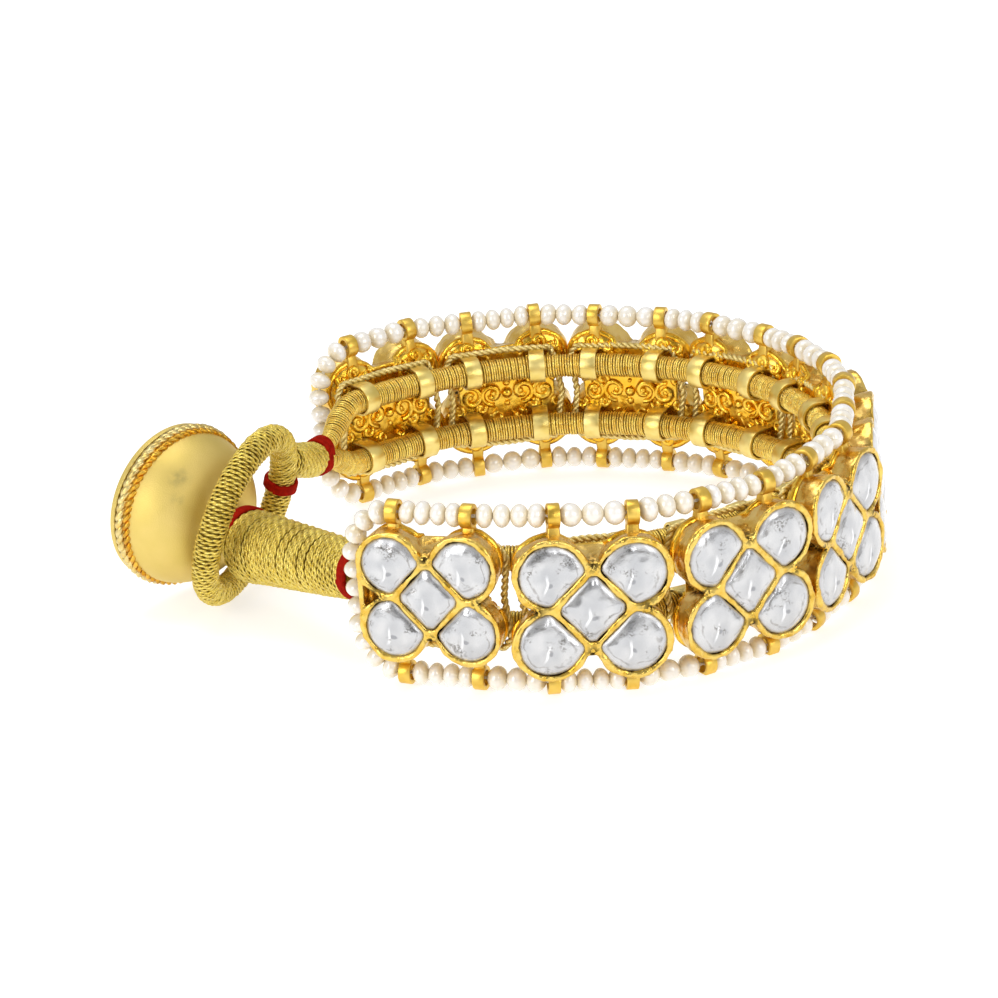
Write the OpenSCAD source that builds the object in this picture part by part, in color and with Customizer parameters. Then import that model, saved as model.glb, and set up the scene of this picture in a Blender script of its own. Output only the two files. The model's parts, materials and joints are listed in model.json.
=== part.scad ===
// Polki bracelet: ten flower plaques, each set with five flat-topped stones, strung
// between two strings of seed pearls and carried on two thread-wrapped cords.
// A wrapped loop at one end buttons over a domed button on a wrapped stem at the other.
// The origin is on the axis of the wrist, on the surface that the bracelet rests on.
// Lengths are in millimetres, and +Z points up.

/* [Bracelet] */
// Radius of the circle on which the string loops stand
string_r = 31.7; // [31.7:0.1:32.2]
// Angle from one flower plaque to the next
plaque_pitch = 25.9; // [25.9:0.02:26]
// Heading of the first plaque, the one beside the button, seen from above
first_heading = -110.3; // [-110.6:0.1:-110]

/* [Flower plaque] */
// Thickness from the back plate to the rims of the face
plaque_t = 3.5; // [3.2:0.1:3.8]
// Radius of one petal at the face
petal_r = 3.65; // [3.5:0.05:3.7]
// How much smaller a petal is at the back, so that neighbours stay apart
petal_draft = 0.55; // [0.5:0.05:0.65]
// Distance of a petal's middle from the upright centre line
petal_x = 3.9; // [3.8:0.05:3.9]
// Distance of a petal's middle from the level centre line
petal_z = 3.4; // [3.3:0.05:3.4]
// Height of the middle diamond's rim above the plaque's centre
diamond_z = 4.53; // [4.4:0.01:4.6]
// Half width of the middle diamond's rim
diamond_x = 4.3; // [4.2:0.01:4.4]
// Width of the gold bars between the stones
bar_w = 0.8; // [0.7:0.05:0.9]
// Thickness of the back plate that carries the relief
back_plate_t = 0.8; // [0.6:0.1:1]

/* [Stones] */
// Depth of the settings below the rims
setting_depth = 1.3; // [1.1:0.1:1.5]
// Radius of a petal stone's round side
stone_r = 2.85; // [2.7:0.05:2.85]
// Distance from a petal's middle to its stone's straight side
stone_chord = 1.95; // [1.85:0.05:1.95]
// Half length of a petal stone's straight side
stone_half = 2.1; // [2:0.05:2.1]
// Height of a stone's table above the rims
table_rise = 0.25; // [0.15:0.05:0.35]

/* [Loops and staples] */
// Height of the string loops above and below the middle of the band
loop_z = 8.35; // [8.35:0.05:8.5]
// Distance of the string loops from a plaque's upright centre line
loop_x = 3.75; // [3.7:0.05:3.8]
// Outer radius of a string loop
loop_r = 1.2; // [1.2:0.01:1.25]
// Wall of a string loop
loop_wall = 0.45; // [0.4:0.01:0.45]
// Width of the strip that a string loop is bent from
loop_w = 1.2; // [1.1:0.05:1.2]
// Outer radius of the staples that hold the cords
staple_r = 1.7; // [1.65:0.01:1.7]
// Width of the strip that a staple is bent from
staple_w = 1.7; // [1.5:0.1:1.8]
// Angle of the staples from a plaque's centre line
staple_deg = 7.2; // [7:0.1:7.4]

/* [Pearls] */
// Radius of a seed pearl
pearl_r = 1.15; // [1.1:0.01:1.15]
// Radius of the drilled hole
pearl_hole_r = 0.35; // [0.35:0.01:0.4]
// Gap between neighbouring pearls
pearl_gap = 0.12; // [0.11:0.01:0.15]
// Radius of the thread that carries the pearls
pearl_thread_r = 0.2; // [0.15:0.01:0.2]
// Radius of the two bends where the upper string turns down into the lower
end_bend_r = 4.7; // [4.7:0.05:5]

/* [Cords] */
// Radius of the circle that the cords follow
cord_path_r = 28.6; // [28.5:0.05:28.6]
// Radius of a wrapped cord
cord_r = 1.25; // [1.2:0.01:1.27]
// Height of the cords above and below the middle of the band
cord_z = 3.35; // [3.3:0.01:3.35]
// Radius of the lashing threads behind the plaques
lashing_r = 0.25; // [0.2:0.01:0.25]

/* [Button and stem] */
// Radius of the stem where it leaves the cords
stem_start_r = 2.85; // [2.7:0.05:2.9]
// Radius of the stem beside the button
stem_end_r = 3.65; // [3.1:0.05:3.7]
// Radius of the dome at its rim
dome_r = 8.3; // [8:0.1:8.4]
// Depth of the dome from its rim to the stem
dome_depth = 7.3; // [7:0.1:7.4]
// Heading of the button's face
button_heading = 135; // [133:0.5:137]
// Upward tilt of the button's face
button_pitch = 7; // [5:0.5:9]

/* [Closing loop] */
// Radius of the loop, to the middle of its cord
closing_r = 8.4; // [8.35:0.05:8.45]
// Radius of the wrapped cord of the loop
closing_cord_r = 1.45; // [1.35:0.01:1.47]
// Radius of the wrapped neck that joins the loop to the cords
neck_r = 1.9; // [1.8:0.01:1.92]

/* [Hidden] */
$fn = 48;
plaque_count = 10;
last = plaque_count - 1;
clear = 0.1;
bite = 0.1;
mid_z = loop_z + loop_r;
loop_deg = asin(loop_x / string_r);
loop_y = string_r * cos(loop_deg);
back_y = loop_y - 0.78;
face_y = back_y + plaque_t;
// Pearls on each stretch of the strings: over a plaque, and on to the next plaque
upper_over = [4, 3, 4, 3, 3, 3, 3, 3, 4, 3];
upper_next = [4, 3, 3, 3, 3, 3, 3, 3, 3];
lower_over = [4, 4, 4, 3, 3, 3, 3, 4, 3, 4];
lower_next = [3, 3, 3, 3, 3, 3, 3, 3, 3];
pearls_round_end = 11;
// Where the wrapped parts of the clasp begin and end
stem_from = [-18.3, -20, mid_z];
stem_to = [-31, -3.8, mid_z - 1.95];
button_at = [-32.5, -4.3, mid_z - 0.25];
neck_from = [-24.3, 13.3, mid_z];
closing_at = [-30.8, -2.5, mid_z + 0.1];
closing_heading = 157;
closing_pitch = 19;
band_w = 1.1;
band_t = 0.4;
gold = [0.85, 0.65, 0.2];
pale_gold = [0.78, 0.7, 0.4];
red = [0.67, 0.12, 0.04];

function two_digits(i) = i < 10 ? str("0", i) : str(i);
PLAQUES = [for (i = [1:plaque_count]) str("plaque_", two_digits(i))];
STONES = [for (i = [1:plaque_count]) str("stones_", two_digits(i))];

// Directions and smooth steps
function unit(v) = v / norm(v);
function ease(t) = let (c = min(1, max(0, t))) c * c * (3 - 2 * c);
function polar(r, angle, z) = [r * cos(angle), r * sin(angle), z];
function heading(i) = first_heading + i * plaque_pitch;
function loop_at(i, side, up) =
    polar(string_r, heading(i) + side * loop_deg, mid_z + up * loop_z);

// Places its children on plaque i: +Y leads out of the bracelet and +X back to the button
module on_plaque(i) {
    rotate([0, 0, heading(i) - 90]) translate([0, 0, mid_z]) children();
}

// Draws an outline in a plaque's own upright plane, from depth y0 out to y1
module outwards(y0, y1) {
    translate([0, y1, 0]) rotate([90, 0, 0]) linear_extrude(y1 - y0) children();
}

// Turns +Z to lead from one point to another, and starts there
module along(from, to) {
    way = to - from;
    translate(from) rotate([0, acos(way.z / norm(way)), atan2(way.y, way.x)]) children();
}

// A solid through rings of points that turn right-handed about the way from first to last
module through_rings(rings, closed = false) {
    m = len(rings[0]);
    n = len(rings);
    walls = [for (i = [0:closed ? n - 1 : n - 2]) for (j = [0:m - 1]) [
        i * m + j, ((i + 1) % n) * m + j,
        ((i + 1) % n) * m + (j + 1) % m, i * m + (j + 1) % m]];
    ends = closed ? [] : [[for (j = [0:m - 1]) j], [for (j = [m - 1:-1:0]) (n - 1) * m + j]];
    polyhedron([for (ring = rings) for (p = ring) p], concat(walls, ends));
}

// The way that a route runs at its point i
function way_at(route, i, closed) =
    let (n = len(route),
         before = closed ? route[(i + n - 1) % n] : route[max(i - 1, 0)],
         after = closed ? route[(i + 1) % n] : route[min(i + 1, n - 1)])
    unit(after - before);

// A ring of points round a route, square to the way it runs
function ring_round(p, way, radius, sides) =
    let (a = unit(cross([p.x, p.y, 0], way)), b = cross(way, a))
    [for (k = [0:sides - 1]) p + radius * (a * cos(360 * k / sides) + b * sin(360 * k / sides))];

// A tube along a route, with a radius for each of its points
module tube(route, radii, sides, closed = false) {
    through_rings([for (i = [0:len(route) - 1])
        ring_round(route[i], way_at(route, i, closed), radii[i], sides)], closed);
}

// Flower plaque

// The straight line from a petal's middle towards the plaque's centre leads this way
diamond_deg = atan2(diamond_x, diamond_z);

module at_petals() {
    for (sx = [-1, 1])
        for (sz = [-1, 1])
            translate([sx * petal_x, 0, sz * petal_z]) children();
}

// The turn that leads a petal's stone away from the plaque's centre
function petal_turn(sx, sz) = sx > 0 ? sz * diamond_deg : 180 - sz * diamond_deg;

// A petal stone's outline seen from its petal's middle, enlarged all round by grow
function petal_outline(grow) = concat(
    [for (a = [-100:20:100]) (stone_r + grow) * [cos(a), sin(a)]],
    [[-stone_chord - grow, stone_half + grow], [-stone_chord - grow, -stone_half - grow]]);

// The middle stone's outline: a diamond with its corners cut
diamond_in = bar_w * sqrt(2);
function diamond_outline(grow) =
    let (x = diamond_x - diamond_in - clear + grow * 1.4,
         z = diamond_z - diamond_in - clear + grow * 1.4, cut = 0.13)
    [for (q = [[1, 0], [0, 1], [-1, 0], [0, -1]])
        for (s = [-1, 1])
            let (side = [-q.y, q.x] * s * cut, tip = q * (1 - cut)) [(tip + side).x * x, (tip + side).y * z]];

module petal_shape(grow) {
    for (sx = [-1, 1])
        for (sz = [-1, 1])
            translate([sx * petal_x, sz * petal_z])
                rotate(petal_turn(sx, sz)) polygon(petal_outline(grow));
}

module diamond_shape(x, z) {
    polygon([[x, 0], [0, z], [-x, 0], [0, -z]]);
}

// A ribbon of relief on the back plate: an arc of a flat ring
module back_arc(x, z, r, from, sweep) {
    ribbon_w = 0.36;
    ribbon_h = 0.3;
    translate([x, back_y + bite, z]) rotate([90, 0, 0]) rotate([0, 0, from])
        rotate_extrude(angle = sweep)
            translate([r - ribbon_w / 2, 0]) square([ribbon_w, ribbon_h + bite]);
}

module back_bead(x, z, r) {
    translate([x, back_y, z]) sphere(r);
}

// Scrollwork on the back: two curls each side of a bead, and a leaf arch on each petal
module back_relief() {
    back_bead(0, 0, 0.5);
    for (s = [-1, 1]) {
        back_bead(0, s * 1.1, 0.28);
        back_arc(s * 1.85, 0.1, 1.05, s > 0 ? -60 : -30, 270);
        back_arc(s * 1.75, 0, 0.45, s > 0 ? 120 : -120, 180);
        back_arc(s * 4.3, -0.1, 1.05, s > 0 ? 100 : 170, 270);
        back_arc(s * 4.4, 0, 0.45, s > 0 ? -60 : 60, 180);
        back_bead(s * 3.05, 1.1, 0.28);
        back_bead(s * 3.05, -1.2, 0.28);
        for (u = [-1, 1])
            back_arc(s * petal_x, u * 4.9, 1.25, u > 0 ? 40 : -140, 100);
    }
}

// A loop for the pearl string: a bent strip soldered to the edge of a petal
module string_loop(up) {
    foot = 2.1;
    for (s = [-1, 1])
        translate([s * loop_x, loop_y, up * loop_z]) rotate([90, 0, 90])
            linear_extrude(loop_w, center = true) difference() {
                union() {
                    circle(loop_r);
                    translate([-0.7, up > 0 ? -foot : 0.8]) square([1.4, foot - 0.8]);
                }
                circle(loop_r - loop_wall);
            }
}

// A staple for a cord: a strip bent round it and soldered to the back plate
module cord_staple() {
    wall = 0.28;
    leg = back_y / cos(staple_deg) - cord_path_r + 0.3;
    rotate([90, 0, 90]) linear_extrude(staple_w, center = true) difference() {
        union() {
            circle(staple_r);
            translate([0, -staple_r]) square([leg, 2 * staple_r]);
        }
        circle(staple_r - wall);
        translate([0, wall - staple_r]) square([leg + 1, 2 * (staple_r - wall)]);
    }
}

module plaque(i) {
    color(gold) on_plaque(i) {
        difference() {
            union() {
                at_petals() translate([0, back_y, 0]) rotate([-90, 0, 0])
                    cylinder(h = plaque_t, r1 = petal_r - petal_draft, r2 = petal_r);
                outwards(back_y, face_y) diamond_shape(diamond_x - 0.1, diamond_z - 0.13);
                outwards(back_y, back_y + back_plate_t) {
                    square([2 * petal_x + 4.2, 2 * petal_z], center = true);
                    square([2 * petal_x, 2 * petal_z + 3.2], center = true);
                }
            }
            outwards(face_y - setting_depth, face_y + 1) {
                difference() {
                    petal_shape(clear);
                    diamond_shape(diamond_x, diamond_z);
                }
                polygon(diamond_outline(clear));
            }
        }
        back_relief();
        string_loop(1);
        string_loop(-1);
        for (s = [-1, 1])
            for (up = [-1, 1])
                rotate([0, 0, s * staple_deg]) translate([0, cord_path_r, up * cord_z]) cord_staple();
        if (i == 0) end_strip();
    }
}

// The strip that closes the outer notch of the first plaque
module end_strip() {
    strip_t = 0.5;
    translate([petal_x + stone_r + 2 * clear, face_y - 1.5, -petal_z])
        cube([strip_t, 1.3, 2 * petal_z]);
}

// Stones

// A flat-topped stone: its table, its girdle and its base, for an outline seen from outside
module stone(outline) {
    levels = [
        // depth, share of the outline
        [face_y + table_rise, 0.62],
        [face_y - 0.3, 1],
        [face_y - setting_depth + clear, 0.86]];
    through_rings([for (level = levels)
        [for (p = outline) [p.x * level[1], level[0], p.y * level[1]]]]);
}

module stones(i) {
    color([0.93, 0.94, 0.96]) on_plaque(i) {
        for (sx = [-1, 1])
            for (sz = [-1, 1])
                translate([sx * petal_x, 0, sz * petal_z])
                    rotate([0, -petal_turn(sx, sz), 0]) stone(petal_outline(0));
        stone(diamond_outline(0));
    }
}

// Pearls and their thread

// A drilled pearl, flattened along its thread
module pearl(length) {
    side_r = length / 2;
    rotate_extrude() difference() {
        union() {
            intersection() {
                translate([pearl_r - side_r, 0]) circle(side_r);
                translate([0, -side_r]) square([pearl_r, length]);
            }
            translate([0, -side_r]) square([pearl_r - side_r, length]);
        }
        translate([0, -length]) square([pearl_hole_r, 2 * length]);
    }
}

// Pearls that fill the straight stretch between two loops, whose strips may stand aslant
module pearls_between(from, to, count, slant) {
    first = loop_w / 2 + slant + pearl_gap;
    free = norm(to - from) - 2 * first + pearl_gap;
    length = free / count - pearl_gap;
    along(from, to)
        for (k = [0:count - 1])
            translate([0, 0, first + length / 2 + k * (length + pearl_gap)]) pearl(length);
}

// The two ends of the strings, where the upper turns down into the lower
end_straight = 2 * (loop_z - end_bend_r);
end_quarter = PI / 2 * end_bend_r;
end_length = 2 * end_quarter + end_straight;

// Distance out along the tangent, and height, at the length s along the bend
function end_out(s) =
    s < end_quarter ? end_bend_r * sin(90 * s / end_quarter)
    : s > end_length - end_quarter ? end_bend_r * sin(90 * (end_length - s) / end_quarter)
    : end_bend_r;
function end_up(s) =
    s < end_quarter ? loop_z - end_bend_r * (1 - cos(90 * s / end_quarter))
    : s > end_length - end_quarter ? end_bend_r * (1 - cos(90 * (end_length - s) / end_quarter)) - loop_z
    : loop_z - end_bend_r - (s - end_quarter);
function end_at(turn, s) =
    let (angle = turn > 0 ? heading(last) + loop_deg : heading(0) - loop_deg,
         tangent = turn * [-sin(angle), cos(angle), 0])
    polar(string_r, angle, mid_z + end_up(s)) + tangent * end_out(s);

module pearls_at_end(turn, first, final) {
    free = end_length - loop_w;
    gap = 0.27;
    length = (free - (pearls_round_end + 1) * gap) / pearls_round_end;
    for (k = [first:final]) {
        s = loop_w / 2 + gap + length / 2 + k * (length + gap);
        way = unit(end_at(turn, s + 0.1) - end_at(turn, s - 0.1));
        along(end_at(turn, s), end_at(turn, s) + way) pearl(length);
    }
}

module pearl_string(up, over, next) {
    half = floor(pearls_round_end / 2);
    color([0.96, 0.94, 0.9]) {
        for (i = [0:last])
            pearls_between(loop_at(i, -1, up), loop_at(i, 1, up), over[i], 0);
        for (i = [0:last - 1])
            pearls_between(loop_at(i, 1, up), loop_at(i + 1, -1, up), next[i], 0.09);
        for (turn = [-1, 1])
            pearls_at_end(turn, up > 0 ? 0 : half + 1, up > 0 ? half : pearls_round_end - 1);
    }
}

module pearl_thread() {
    steps = 6;
    bend = concat([for (k = [1:steps]) k * end_quarter / steps],
        [for (k = [steps:-1:1]) end_length - k * end_quarter / steps]);
    down = [for (s = bend) end_at(1, s)];
    back_up = [for (k = [len(bend) - 1:-1:0]) end_at(-1, bend[k])];
    top = [for (i = [0:last]) for (side = [-1, 1]) loop_at(i, side, 1)];
    bottom = [for (i = [last:-1:0]) for (side = [1, -1]) loop_at(i, side, -1)];
    route = concat(top, down, bottom, back_up);
    color([0.9, 0.88, 0.8]) tube(route, [for (p = route) pearl_thread_r], 8, true);
}

// Cords and lashings

// Headings of the cords' ends, and of the places where they begin to draw together
cord_start = -131.1;
cord_spread = -122.8;
cord_gather = 132.9;
cord_gathered = 146.4;
cord_end = 149.4;
neck_path_r = cord_path_r - 0.9;
stem_path_r = cord_path_r - 1.2;
cord_rings = 56;
gathered_z = 1.05;
gathered_r = 0.95;

module wrapped_cord(up) {
    angles = [for (k = [0:cord_rings]) cord_start + k * (cord_end - cord_start) / cord_rings];
    at_stem = [for (a = angles) ease((cord_spread - a) / (cord_spread - cord_start))];
    at_neck = [for (a = angles) ease((a - cord_gather) / (cord_gathered - cord_gather))];
    spread = [for (k = [0:cord_rings]) (1 - at_stem[k]) * (1 - at_neck[k])];
    inward = [for (k = [0:cord_rings])
        (cord_path_r - stem_path_r) * at_stem[k] + (cord_path_r - neck_path_r) * at_neck[k]];
    route = [for (k = [0:cord_rings])
        polar(cord_path_r - inward[k], angles[k],
            mid_z + up * (gathered_z + (cord_z - gathered_z) * spread[k]))];
    radii = [for (s = spread) gathered_r + (cord_r - gathered_r) * min(1, 2 * s)];
    color(gold) tube(route, radii, 12);
}

// The wire frame of one lashing: four straight runs and four rounded corners
module lashing() {
    half_w = 6.2;
    half_h = 5.4;
    corner = 1;
    translate([0, back_y - 0.65, 0]) rotate([90, 0, 0])
        for (turn = [0:90:270]) {
            w = turn % 180 == 0 ? half_w : half_h;
            h = turn % 180 == 0 ? half_h : half_w;
            rotate(turn) {
                translate([w, 0, 0]) rotate([90, 0, 0])
                    cylinder(h = 2 * (h - corner), r = lashing_r, center = true);
                translate([w - corner, h - corner, 0]) rotate_extrude(angle = 90)
                    translate([corner, 0]) circle(lashing_r);
            }
        }
}

module lashing_threads() {
    color(pale_gold) for (i = [0:last]) on_plaque(i) lashing();
}

// Button and stem

// Two narrow ends of the stem take the bindings
seat_w = band_w + 2 * clear;
shank_r = 0.9;
shank_l = 4;
shank_out = 2;

module button_stem() {
    l = norm(stem_to - stem_from);
    shoulder = 1;
    color(pale_gold) along(stem_from, stem_to) rotate_extrude() difference() {
        union() {
            square([stem_start_r - band_t, l]);
            polygon([[0, seat_w], [stem_start_r, seat_w],
                [stem_end_r, l - seat_w - shoulder], [0, l - seat_w - shoulder]]);
            square([stem_end_r - shoulder, l - seat_w]);
            translate([stem_end_r - shoulder, l - seat_w - shoulder]) circle(shoulder);
        }
        translate([0, l - shank_l - clear]) square([shank_r + clear, shank_l + 1]);
    }
}

// A thread binding: a flat band round a narrowed end of the stem
module round_band(inner) {
    rotate_extrude() translate([inner + clear, clear]) square([band_t, band_w]);
}

module stem_binding() {
    color(red) along(stem_from, stem_to) round_band(stem_start_r - band_t);
}

module button_binding() {
    l = norm(stem_to - stem_from);
    color(red) along(stem_from, stem_to) translate([0, 0, l - seat_w]) round_band(stem_start_r - band_t);
}

module facing(heading_deg, pitch_deg) {
    rotate([0, 90 - pitch_deg, heading_deg]) children();
}

// The domed button: a deep dome, a rope border on its rim, a scalloped face and a shank
module button() {
    arc_r = dome_depth;
    rim_l = 0.8;
    rope_r = 0.45;
    color(gold) along(stem_to, 2 * stem_to - stem_from) translate([0, 0, -shank_l])
        cylinder(h = shank_l + shank_out, r = shank_r);
    color(gold) translate(button_at) facing(button_heading, button_pitch) {
        rotate_extrude() union() {
            intersection() {
                translate([dome_r - arc_r, dome_depth]) circle(arc_r);
                square([dome_r, dome_depth]);
            }
            square([dome_r - arc_r, dome_depth]);
            translate([0, dome_depth - bite]) square([dome_r, rim_l + bite]);
            translate([dome_r, dome_depth]) circle(rope_r);
            translate([dome_r - 0.12, dome_depth - 0.8]) circle(rope_r * 0.6);
        }
        translate([0, 0, dome_depth + rim_l - bite]) {
            cylinder(h = 0.4 + bite, r1 = dome_r - 0.3, r2 = dome_r - 0.9);
            for (k = [0:7]) rotate([0, 0, 45 * k]) translate([5, 0, 0])
                cylinder(h = 0.8 + bite, r1 = 2.1, r2 = 1.6);
            cylinder(h = 1.1 + bite, r1 = 2.6, r2 = 1.8);
        }
    }
}

// Closing loop

// Places its children in the loop's plane: +X leads to its far side and +Y down
module closing_frame() {
    translate(closing_at) facing(closing_heading, closing_pitch) rotate([0, 0, -90]) children();
}

module closing_loop() {
    color(pale_gold) closing_frame() rotate_extrude() translate([closing_r, 0]) circle(closing_cord_r);
}

// Where the neck meets the loop and where the red binding sits, seen from its far side
neck_deg = -24;
binding_deg = -7.2;
binding_sweep = band_w / closing_r * 180 / PI;

// The red binding under the place where the neck joins the loop
module closing_loop_binding() {
    color(red) closing_frame() rotate([0, 0, binding_deg]) rotate_extrude(angle = binding_sweep)
        translate([closing_r, 0]) difference() {
            circle(closing_cord_r + clear + band_t);
            circle(closing_cord_r + clear);
        }
}

// The point of the loop that the neck meets
function level_way(angle) = [cos(angle), sin(angle), 0];
loop_down = sin(closing_pitch) * level_way(closing_heading) - [0, 0, cos(closing_pitch)];
neck_to = closing_at + closing_r
    * (cos(neck_deg) * level_way(closing_heading - 90) + sin(neck_deg) * loop_down);

module loop_neck() {
    color(pale_gold) difference() {
        along(neck_from, neck_to) cylinder(h = norm(neck_to - neck_from), r = neck_r);
        closing_frame() rotate_extrude() translate([closing_r, 0]) circle(closing_cord_r + clear + 0.02);
        // room for the red binding beside it
        closing_frame() rotate([0, 0, binding_deg - 1]) rotate_extrude(angle = binding_sweep + 2)
            translate([closing_r, 0]) circle(closing_cord_r + band_t + 2 * clear);
    }
}

// The red binding that gathers the ends of both cords before the neck
module loop_neck_binding() {
    half_h = gathered_z + gathered_r + 2 * clear;
    half_w = gathered_r + 2 * clear;
    along(polar(neck_path_r, cord_end - 2.4, mid_z), polar(neck_path_r, cord_end, mid_z))
        color(red) linear_extrude(band_w) difference() {
            stadium(half_h + band_t - clear, half_w + band_t - clear);
            stadium(half_h, half_w);
        }
}

// An upright bar with round ends
module stadium(half_h, half_w) {
    straight = half_h - half_w;
    for (s = [-1, 1]) translate([s * straight, 0]) circle(half_w);
    square([2 * straight, 2 * half_w], center = true);
}

for (i = [0:last]) {
    plaque(i);
    stones(i);
}
pearl_string(1, upper_over, upper_next);  // pearls_upper
pearl_string(-1, lower_over, lower_next);  // pearls_lower
pearl_thread();
wrapped_cord(1);  // cord_upper
wrapped_cord(-1);  // cord_lower
lashing_threads();
button_stem();
stem_binding();
button_binding();
button();
loop_neck();
loop_neck_binding();
closing_loop();
closing_loop_binding();
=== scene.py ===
# %% [markdown]
# A polki bracelet. Ten gold flowers, each set with five flat diamonds, sit in a row between
# two strings of seed pearls. Behind them run two cords wrapped in gold thread, and a wrapped
# loop at one end buttons over a domed button at the other. The measured construction comes
# in as a fixed frame. Everything here is made around it, in the same place.

# %% Load the frame
import json
import math
import random

import bmesh
import bpy
import numpy as np
from mathutils import Matrix, Vector
from mathutils.kdtree import KDTree

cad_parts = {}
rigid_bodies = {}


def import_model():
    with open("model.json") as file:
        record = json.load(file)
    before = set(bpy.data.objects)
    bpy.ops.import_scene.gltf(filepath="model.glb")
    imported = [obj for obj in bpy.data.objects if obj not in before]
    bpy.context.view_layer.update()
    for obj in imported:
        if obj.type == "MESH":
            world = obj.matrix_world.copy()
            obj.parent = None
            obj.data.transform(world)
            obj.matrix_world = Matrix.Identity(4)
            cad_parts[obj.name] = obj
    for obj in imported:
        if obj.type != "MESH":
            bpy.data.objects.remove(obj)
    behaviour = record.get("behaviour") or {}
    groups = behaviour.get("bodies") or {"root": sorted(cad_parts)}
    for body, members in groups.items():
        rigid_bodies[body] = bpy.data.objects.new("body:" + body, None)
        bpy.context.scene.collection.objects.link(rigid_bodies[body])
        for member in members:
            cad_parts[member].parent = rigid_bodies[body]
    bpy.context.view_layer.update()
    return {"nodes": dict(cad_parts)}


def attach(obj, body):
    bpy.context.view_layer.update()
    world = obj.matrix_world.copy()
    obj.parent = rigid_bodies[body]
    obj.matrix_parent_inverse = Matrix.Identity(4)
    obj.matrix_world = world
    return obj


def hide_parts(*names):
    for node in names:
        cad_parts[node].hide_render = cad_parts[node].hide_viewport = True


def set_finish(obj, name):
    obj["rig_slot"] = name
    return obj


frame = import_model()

print("nodes in the frame:", len(frame["nodes"]))

# %% [markdown]
# A jeweller thinks in millimetres, and Blender's tools behave better on things a few units
# across than on things a few thousandths across. So each piece is modelled in millimetres,
# and the last step of each shrinks it to metres. These are the bracelet's driving sizes.

# %% Sizes in millimetres
MM = 0.001
STRING_R = 31.7
PLAQUE_PITCH = 25.9
FIRST_HEADING = -110.3
PLAQUE_COUNT = 10
PLAQUE_T = 3.5
PETAL_R = 3.65
PETAL_DRAFT = 0.55
PETAL_X = 3.9
PETAL_Z = 3.4
DIAMOND_X = 4.3
DIAMOND_Z = 4.53
BAR_W = 0.8
LOOP_Z = 8.35
LOOP_X = 3.75
LOOP_R = 1.2
LOOP_WALL = 0.45
LOOP_W = 1.2
STAPLE_R = 1.7
STAPLE_W = 1.7
STAPLE_WALL = 0.28
STAPLE_DEG = 7.2
PEARL_R = 1.15
CORD_PATH_R = 28.95
CORD_R = 1.25
CORD_Z = 3.35
MID_Z = LOOP_Z + LOOP_R
LOOP_DEG = math.degrees(math.asin(LOOP_X / STRING_R))
LOOP_Y = STRING_R * math.cos(math.radians(LOOP_DEG))
BACK_Y = LOOP_Y - 0.78
FACE_Y = BACK_Y + PLAQUE_T
DOWN_UP = (-1, 1)


def heading(i):
    """The way that plaque i faces, in degrees from +X."""
    return FIRST_HEADING + i * PLAQUE_PITCH


def polar(r, angle, z):
    """The point so far from the wrist's axis, in this heading and at this height."""
    return Vector((r * math.cos(math.radians(angle)), r * math.sin(math.radians(angle)), z))


def on_plaque(i):
    """The place of plaque i: +Y leads out of the bracelet and +X back to the button."""
    return Matrix.Translation((0, 0, MID_Z)) @ Matrix.Rotation(math.radians(heading(i) - 90), 4, "Z")


# No two flowers sit quite alike on their strings: (along, out, up) in mm, (turn, lean) in degrees
HAND_SET = [
    (0.6, -0.3, 0.35, -0.5, -2.0),
    (-0.15, 0.4, 0.0, -3.5, 0.4),
    (-0.4, 0.5, -0.4, -0.9, -0.5),
    (0.0, 0.4, 0.0, 1.5, -0.5),
    (0.0, -0.3, 0.2, 1.0, 4.0),
    (0.0, -0.4, 0.2, -1.5, 4.0),
    (0.1, -0.4, 0.0, 0.2, 3.0),
    (0.25, -0.3, 0.0, 0.7, 2.5),
    (0.4, 0.1, 0.1, -1.0, 1.5),
    (0.55, 0.1, 0.3, -0.9, -1.0)]


def hand_placed(i):
    """The place of plaque i as the maker's hand left it, within half a millimetre or so."""
    along, out, up, turn, lean = HAND_SET[i]
    string = Vector((0, LOOP_Y, 0))
    leaning = Matrix.Translation(string) @ Matrix.Rotation(math.radians(lean), 4, "X")
    moved = Matrix.Translation((along, out, up)) @ leaning @ Matrix.Translation(-string)
    return on_plaque(i) @ moved @ Matrix.Rotation(math.radians(turn), 4, "Y")


# Two flowers differ in size from the rest: (aside, up) in mm, (share of width, of height)
HAND_SHAPE = {0: (0.0, 0.55, 0.94, 0.955), 1: (0.3, -0.25, 1.02, 1.01)}


def hand_shaped(i):
    """The place of flower i, with its own width and height."""
    aside, up, wide, tall = HAND_SHAPE.get(i, (0, 0, 1, 1))
    return hand_placed(i) @ Matrix.Translation((aside, 0, up)) @ Matrix.Diagonal((wide, 1, tall, 1))


print("the face of a plaque stands", round(FACE_Y, 2), "mm from the wrist's axis")

# %% [markdown]
# The camera comes first, because everything is judged through it. The photograph was taken
# with a long lens, from about 20 degrees above the table, and very slightly turned. The view
# is 998 pixels square, and the lens is given as the number of pixels that a slope of 1 spans.

# %% Camera
VIEW_PX = 998
LENS_PX = 3791
SHIFT_PX = (-9, -5)
look_down = math.radians(20)
turned = math.radians(4.16)
aim = Vector((-4, -1.6, 9.55)) * MM
distance = 386 * MM
look = Vector((0, math.cos(look_down), -math.sin(look_down)))
level = Vector((1, 0, 0))
upright = Vector((0, math.sin(look_down), math.cos(look_down)))
right = level * math.cos(turned) - upright * math.sin(turned)
top = level * math.sin(turned) + upright * math.cos(turned)

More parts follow.
